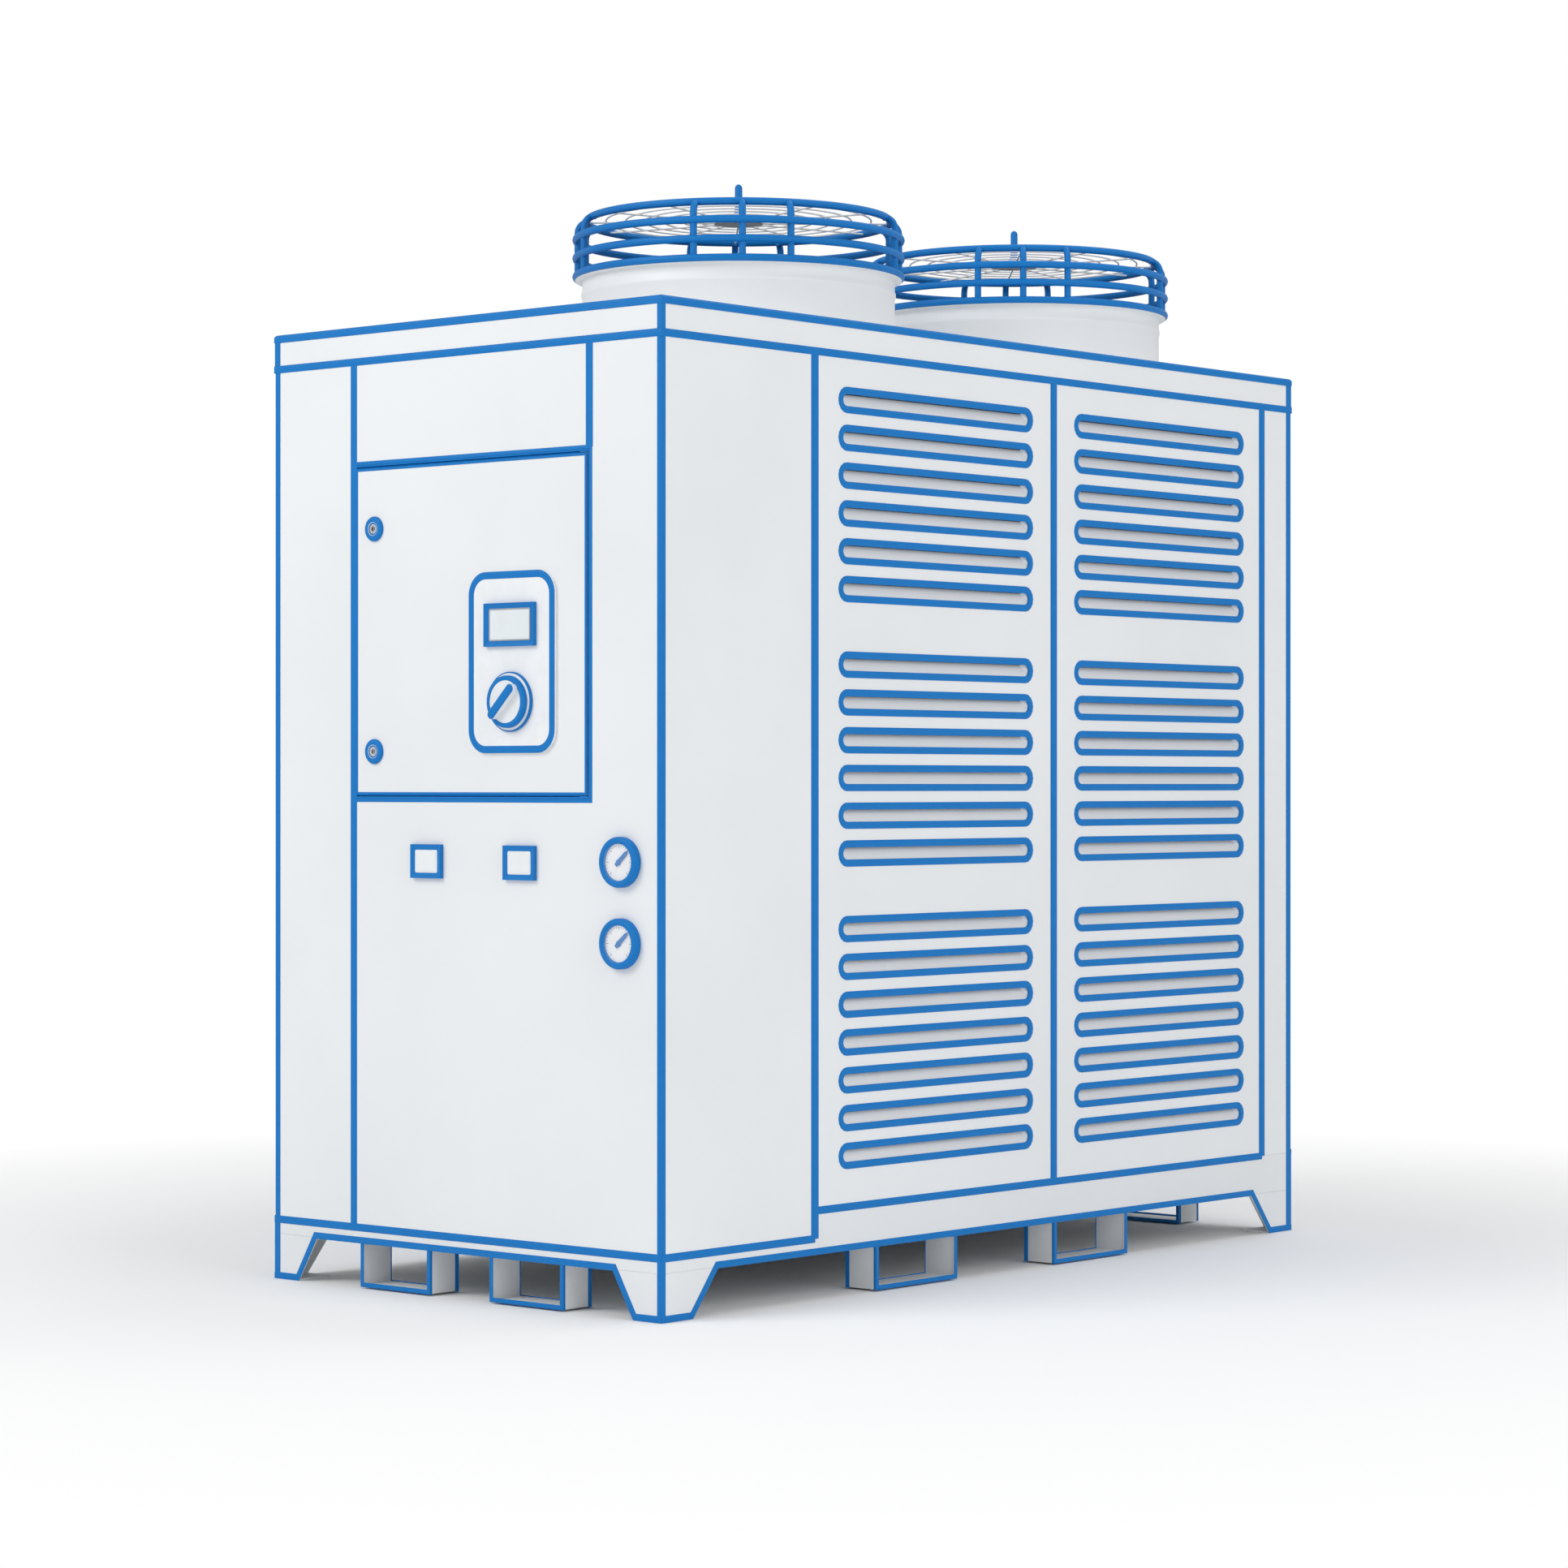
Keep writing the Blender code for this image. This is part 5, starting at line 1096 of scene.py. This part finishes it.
def gauge(name):
    """A dial gauge: rolled bezel, white dial with marks, needle and glass."""
    x, z = GAUGES[name]
    place = out_of_front(x, FRONT, z)
    gauge_case(name, place)
    gauge_dial(name, place)
    gauge_needle(name, place)
    bm = bmesh.new()
    revolve(bm, [(0, 0.0146), (0.022, 0.0144), (0.0352, 0.0138), (0.0352, 0.013), (0, 0.0136)], 48)
    piece(f"gauge_{name}_glass", bm, GLASS, place=place)


def lamp(side):
    """A pillowed lens in the lamp's square frame."""
    bm = bmesh.new()
    width, height = LENS_SIZE
    rings = []
    pillow = ((0, 0.003), (0.0006, 0.0062), (0.003, 0.008), (0.01, 0.0092), (0.02, 0.0098))
    for inset, rise in pillow:
        radius = max(0.0035 - inset * 0.15, 0.0008)
        outline = rounded_outline(width - 2 * inset, height - 2 * inset, radius, 4)
        rings.append(vertices(bm, upright(outline, FRONT - rise, LAMPS[side])))
    skin(bm, rings, caps=(-1,))
    piece(f"pilot_lamp_{side}_lens", bm, LENS)


# Fans


def on_fan(end, height):
    return Matrix.Translation((FAN_X, FAN_Y[end], height))


def shroud(end):
    """Rolled sheet ring with a beaded foot and an outward rim."""
    bm = bmesh.new()
    r = SHROUD_RADIUS
    top = SHROUD_TOP - SHROUD_BASE
    profile = [(r + 0.014, 0), (r + 0.014, 0.003)] + arc_points(r + 0.009, 0.012, 0.009, 270, 180, 6)
    profile += [
        (r, top - 0.04), (r + 0.002, top - 0.037), (r + 0.002, top - 0.03), (r, top - 0.027),
        (r, top - 0.008), (r + 0.002, top - 0.0035), (r + 0.014, top - 0.003), (r + 0.016, top - 0.0015),
        (r + 0.0145, top), (r - 0.001, top), (r - 0.003, top - 0.002),
        (r - 0.003, 0.012), (r + 0.001, 0.004), (r + 0.006, 0),
    ]
    revolve(bm, profile, 128, closed=True)
    piece(f"fan_{end}_shroud_ring", bm, WHITE, replaces=f"fan_shroud_{end}", place=on_fan(end, SHROUD_BASE))


def between(ends, share):
    return ends[0] + (ends[1] - ends[0]) * share


def blade(bm, turn_deg):
    """One twisted, swept and cambered blade with rounded corners."""
    rows = []
    for i in range(BLADE_STATIONS + 1):
        out = i / BLADE_STATIONS
        radius = between(BLADE_REACH, out)
        chord = between(BLADE_CHORD, out)
        if out > 0.9:
            chord *= 1 - 0.06 * ((out - 0.9) / 0.1) ** 2
        pitch = radians(between(BLADE_PITCH_DEG, out))
        lead = radians(turn_deg + BLADE_SWEEP_DEG * out * out)
        row = []
        for k in range(BLADE_PANELS + 1):
            over = k / BLADE_PANELS - 0.5
            x, y = polar(radius, lead + over * chord * cos(pitch) / radius)
            row.append((x, y, over * chord * sin(pitch) + BLADE_CAMBER * (1 - 4 * over * over)))
        rows.append(row)
    edges = []
    for shift in (-BLADE_THICKNESS / 2, BLADE_THICKNESS / 2):
        sheet = [vertices(bm, [(x, y, z + shift) for x, y, z in row]) for row in rows]
        for row, later in zip(sheet, sheet[1:]):
            for k in range(BLADE_PANELS):
                bm.faces.new((row[k], row[k + 1], later[k + 1], later[k]))
        up, down = [row[0] for row in sheet], [row[-1] for row in reversed(sheet[:-1])]
        edges.append(up + sheet[-1][1:] + down + sheet[0][-2:0:-1])
    skin(bm, edges, caps=())


def rotor(end):
    """Blades on a hub with a screw between each two."""
    bm = bmesh.new()
    step = 360 / BLADES
    for k in range(BLADES):
        blade(bm, k * step)
    hub = [
        (0, 0.0415), (0.02, 0.0415), (0.024, 0.04), (0.06, 0.0395), (0.074, 0.037), (0.0825, 0.031),
        (0.085, 0.024), (0.085, 0.012), (0.0865, 0.01), (0.0865, -0.01), (0.085, -0.012),
        (0.085, -0.0385), (0.083, -0.04), (0, -0.04),
    ]
    revolve(bm, hub)
    head = [(0, 0.0045), (0.0042, 0.0045), (0.0052, 0.0035), (0.0052, 0)]
    for k in range(BLADES):
        revolve(bm, head, 12, 1, around_axis(0.062, (k + 0.5) * step, 0.0385))
    piece(f"fan_{end}_blades", bm, BLACK, STEEL, body="fan_" + end, replaces=f"fan_rotor_{end}",
          place=on_fan(end, ROTOR_LEVEL))


def guard_side(end):
    """The cage's side: three rings and the uprights that turn over its round shoulder."""
    bm = bmesh.new()
    for height in GUARD_LEVELS:
        sweep(bm, level(circle(GUARD_RADIUS, 96), height), circle(SIDE_WIRE, 10), UP, closed=True)
    out = GUARD_RADIUS - 0.004
    bend = GUARD_RADIUS - GRILLE_RADIUS + 0.002
    line = [(out, UPRIGHT_BOTTOM)] + arc_points(out - bend, GRILLE_LEVEL - bend, bend, 0, 90, 6)
    for group in range(4):
        for offset in UPRIGHTS_DEG:
            turn = turned(CAGE_TURN_DEG[end] + 90 * group + offset)
            tube(bm, [turn @ Vector(point) for point in upright(line)], SIDE_WIRE * 0.92)
    piece(f"fan_{end}_cage_side", bm, BLUE_WIRE, replaces=f"fan_guard_{end}", place=on_fan(end, 0))


def guard_top(end):
    """The cage's top: fine rings on spokes round a small hub plate with the stud."""
    bm = bmesh.new()
    sweep(bm, level(circle(GRILLE_RADIUS, 96), 0), circle(SIDE_WIRE, 10), UP, closed=True)
    for radius in GRILLE_RINGS:
        sweep(bm, level(circle(radius, 72), TOP_WIRE), circle(TOP_WIRE, 6), UP, closed=True, material=1)
    for k in range(SPOKES):
        turn = turned(CAGE_TURN_DEG[end] + 360 / SPOKES * k)
        ends = [turn @ Vector((radius, 0, -0.0015)) for radius in (HUB_RADIUS * 0.8, GRILLE_RADIUS)]
        tube(bm, ends, TOP_WIRE, 6, material=1)
    plate = [
        (0, 0.004), (HUB_RADIUS - 0.006, 0.0036), (HUB_RADIUS - 0.001, 0.0024), (HUB_RADIUS, -0.0008),
        (HUB_RADIUS - 0.001, -0.003), (0, -0.003),
    ]
    revolve(bm, plate, 64, 1)
    height = STUD_TOP - GRILLE_LEVEL
    stud = [
        (0, height), (0.0035, height - 0.0008), (0.0064, height - 0.0036), (0.0078, height - 0.0078),
        (0.008, 0.026), (0.01, 0.018), (0.015, 0.009), (0.019, 0.004), (0, 0.003),
    ]
    revolve(bm, stud, 32)
    piece(f"fan_{end}_cage_top", bm, BLUE_WIRE, WHITE, replaces=f"fan_grille_{end}",
          place=on_fan(end, GRILLE_LEVEL))


# Stage


def mix_shaders(owner, factor, first, second, output):
    """Blends two shaders by a factor, into an output."""
    mix = node(owner, "ShaderNodeMixShader")
    for source, target in zip((factor, first, second), mix.inputs):
        link(owner, source.outputs[0], target)
    link(owner, mix.outputs[0], owner.node_tree.nodes[output].inputs["Surface"])


def floor_material():
    """Pale matt floor that fades to plain white away from the object, for the camera only."""
    material = new_material("pale_floor", (0.93, 0.935, 0.94), 0.75)
    socket(material, "Specular IOR Level").default_value = 0.2
    place = node(material, "ShaderNodeTexCoord")
    length = node(material, "ShaderNodeVectorMath", operation="LENGTH")
    link(material, place.outputs["Object"], length.inputs[0])
    rays = node(material, "ShaderNodeLightPath")
    seen = node(material, "ShaderNodeMath", operation="MULTIPLY")
    link(material, spread(material, length.outputs["Value"], 0, 1.0, *FLOOR_FADE), seen.inputs[0])
    link(material, rays.outputs["Is Camera Ray"], seen.inputs[1])
    white = node(material, "ShaderNodeEmission", Color=PURE_WHITE)
    matt = material.node_tree.nodes["Principled BSDF"]
    mix_shaders(material, seen, matt, white, "Material Output")
    return material


def stage_floor():
    mesh = bpy.data.meshes.new("floor")
    span = (-FLOOR_HALF, FLOOR_HALF)
    mesh.from_pydata(level(rectangle(span, span), 0), [], [(0, 1, 2, 3)])
    mesh.materials.append(floor_material())
    floor = add_object("floor", mesh)
    floor.location = (0, 0, CAD_BOUNDS[0].z)


def area_light(name, place, target, size, power):
    data = bpy.data.lights.new(name, "AREA")
    data.shape = "DISK"
    data.size = size
    data.energy = power
    light = add_object(name, data)
    light.location = place
    light.rotation_euler = (Vector(target) - Vector(place)).to_track_quat("-Z", "Y").to_euler()


def surroundings():
    """Soft even light from all round, plain white where the camera sees it."""
    world = bpy.data.worlds.new("world")
    bpy.context.scene.world = world
    world.use_nodes = True
    soft = world.node_tree.nodes["Background"]
    soft.inputs["Color"].default_value = PURE_WHITE
    soft.inputs["Strength"].default_value = AMBIENT
    bright = node(world, "ShaderNodeBackground", Color=PURE_WHITE)
    rays = node(world, "ShaderNodeLightPath")
    seen = node(world, "ShaderNodeMath", operation="MAXIMUM")
    link(world, rays.outputs["Is Camera Ray"], seen.inputs[0])
    link(world, rays.outputs["Is Transmission Ray"], seen.inputs[1])
    mix_shaders(world, seen, soft, bright, "World Output")


def camera():
    data = bpy.data.cameras.new("camera")
    data.lens = CAMERA_LENS
    data.sensor_width = 36.0
    data.clip_end = 100.0
    made = add_object("camera", data)
    made.location = CAMERA_PLACE
    made.rotation_euler = Vector(CAMERA_AIM).to_track_quat("-Z", "Y").to_euler()
    bpy.context.scene.camera = made


camera()
stage_floor()
area_light("key_light", (-2.2, -6.5, 5.5), (0, 0, 1.0), 4.5, 230)
area_light("side_light", (7.0, -1.5, 3.2), (0, 0, 0.8), 5.0, 125)
area_light("top_light", (1.0, 2.5, 7.0), (0, 0, 1.5), 5.0, 110)
surroundings()
bpy.context.scene.view_settings.view_transform = "Standard"

dress_nodes()
seams()
all_slot_trims()
for build in (bay_seal, edge_seal, pivot_caps, door_gasket, rear_housings, switchgear, control_plate_rim,
              display_screen, main_switch):
    build()
for places, build in ((LOCKS, lock), (GAUGES, gauge), (LAMPS, lamp), (PORTS, water_port)):
    for key in places:
        build(key)
for end in FAN_Y:
    for build in (shroud, rotor, guard_side, guard_top):
        build(end)
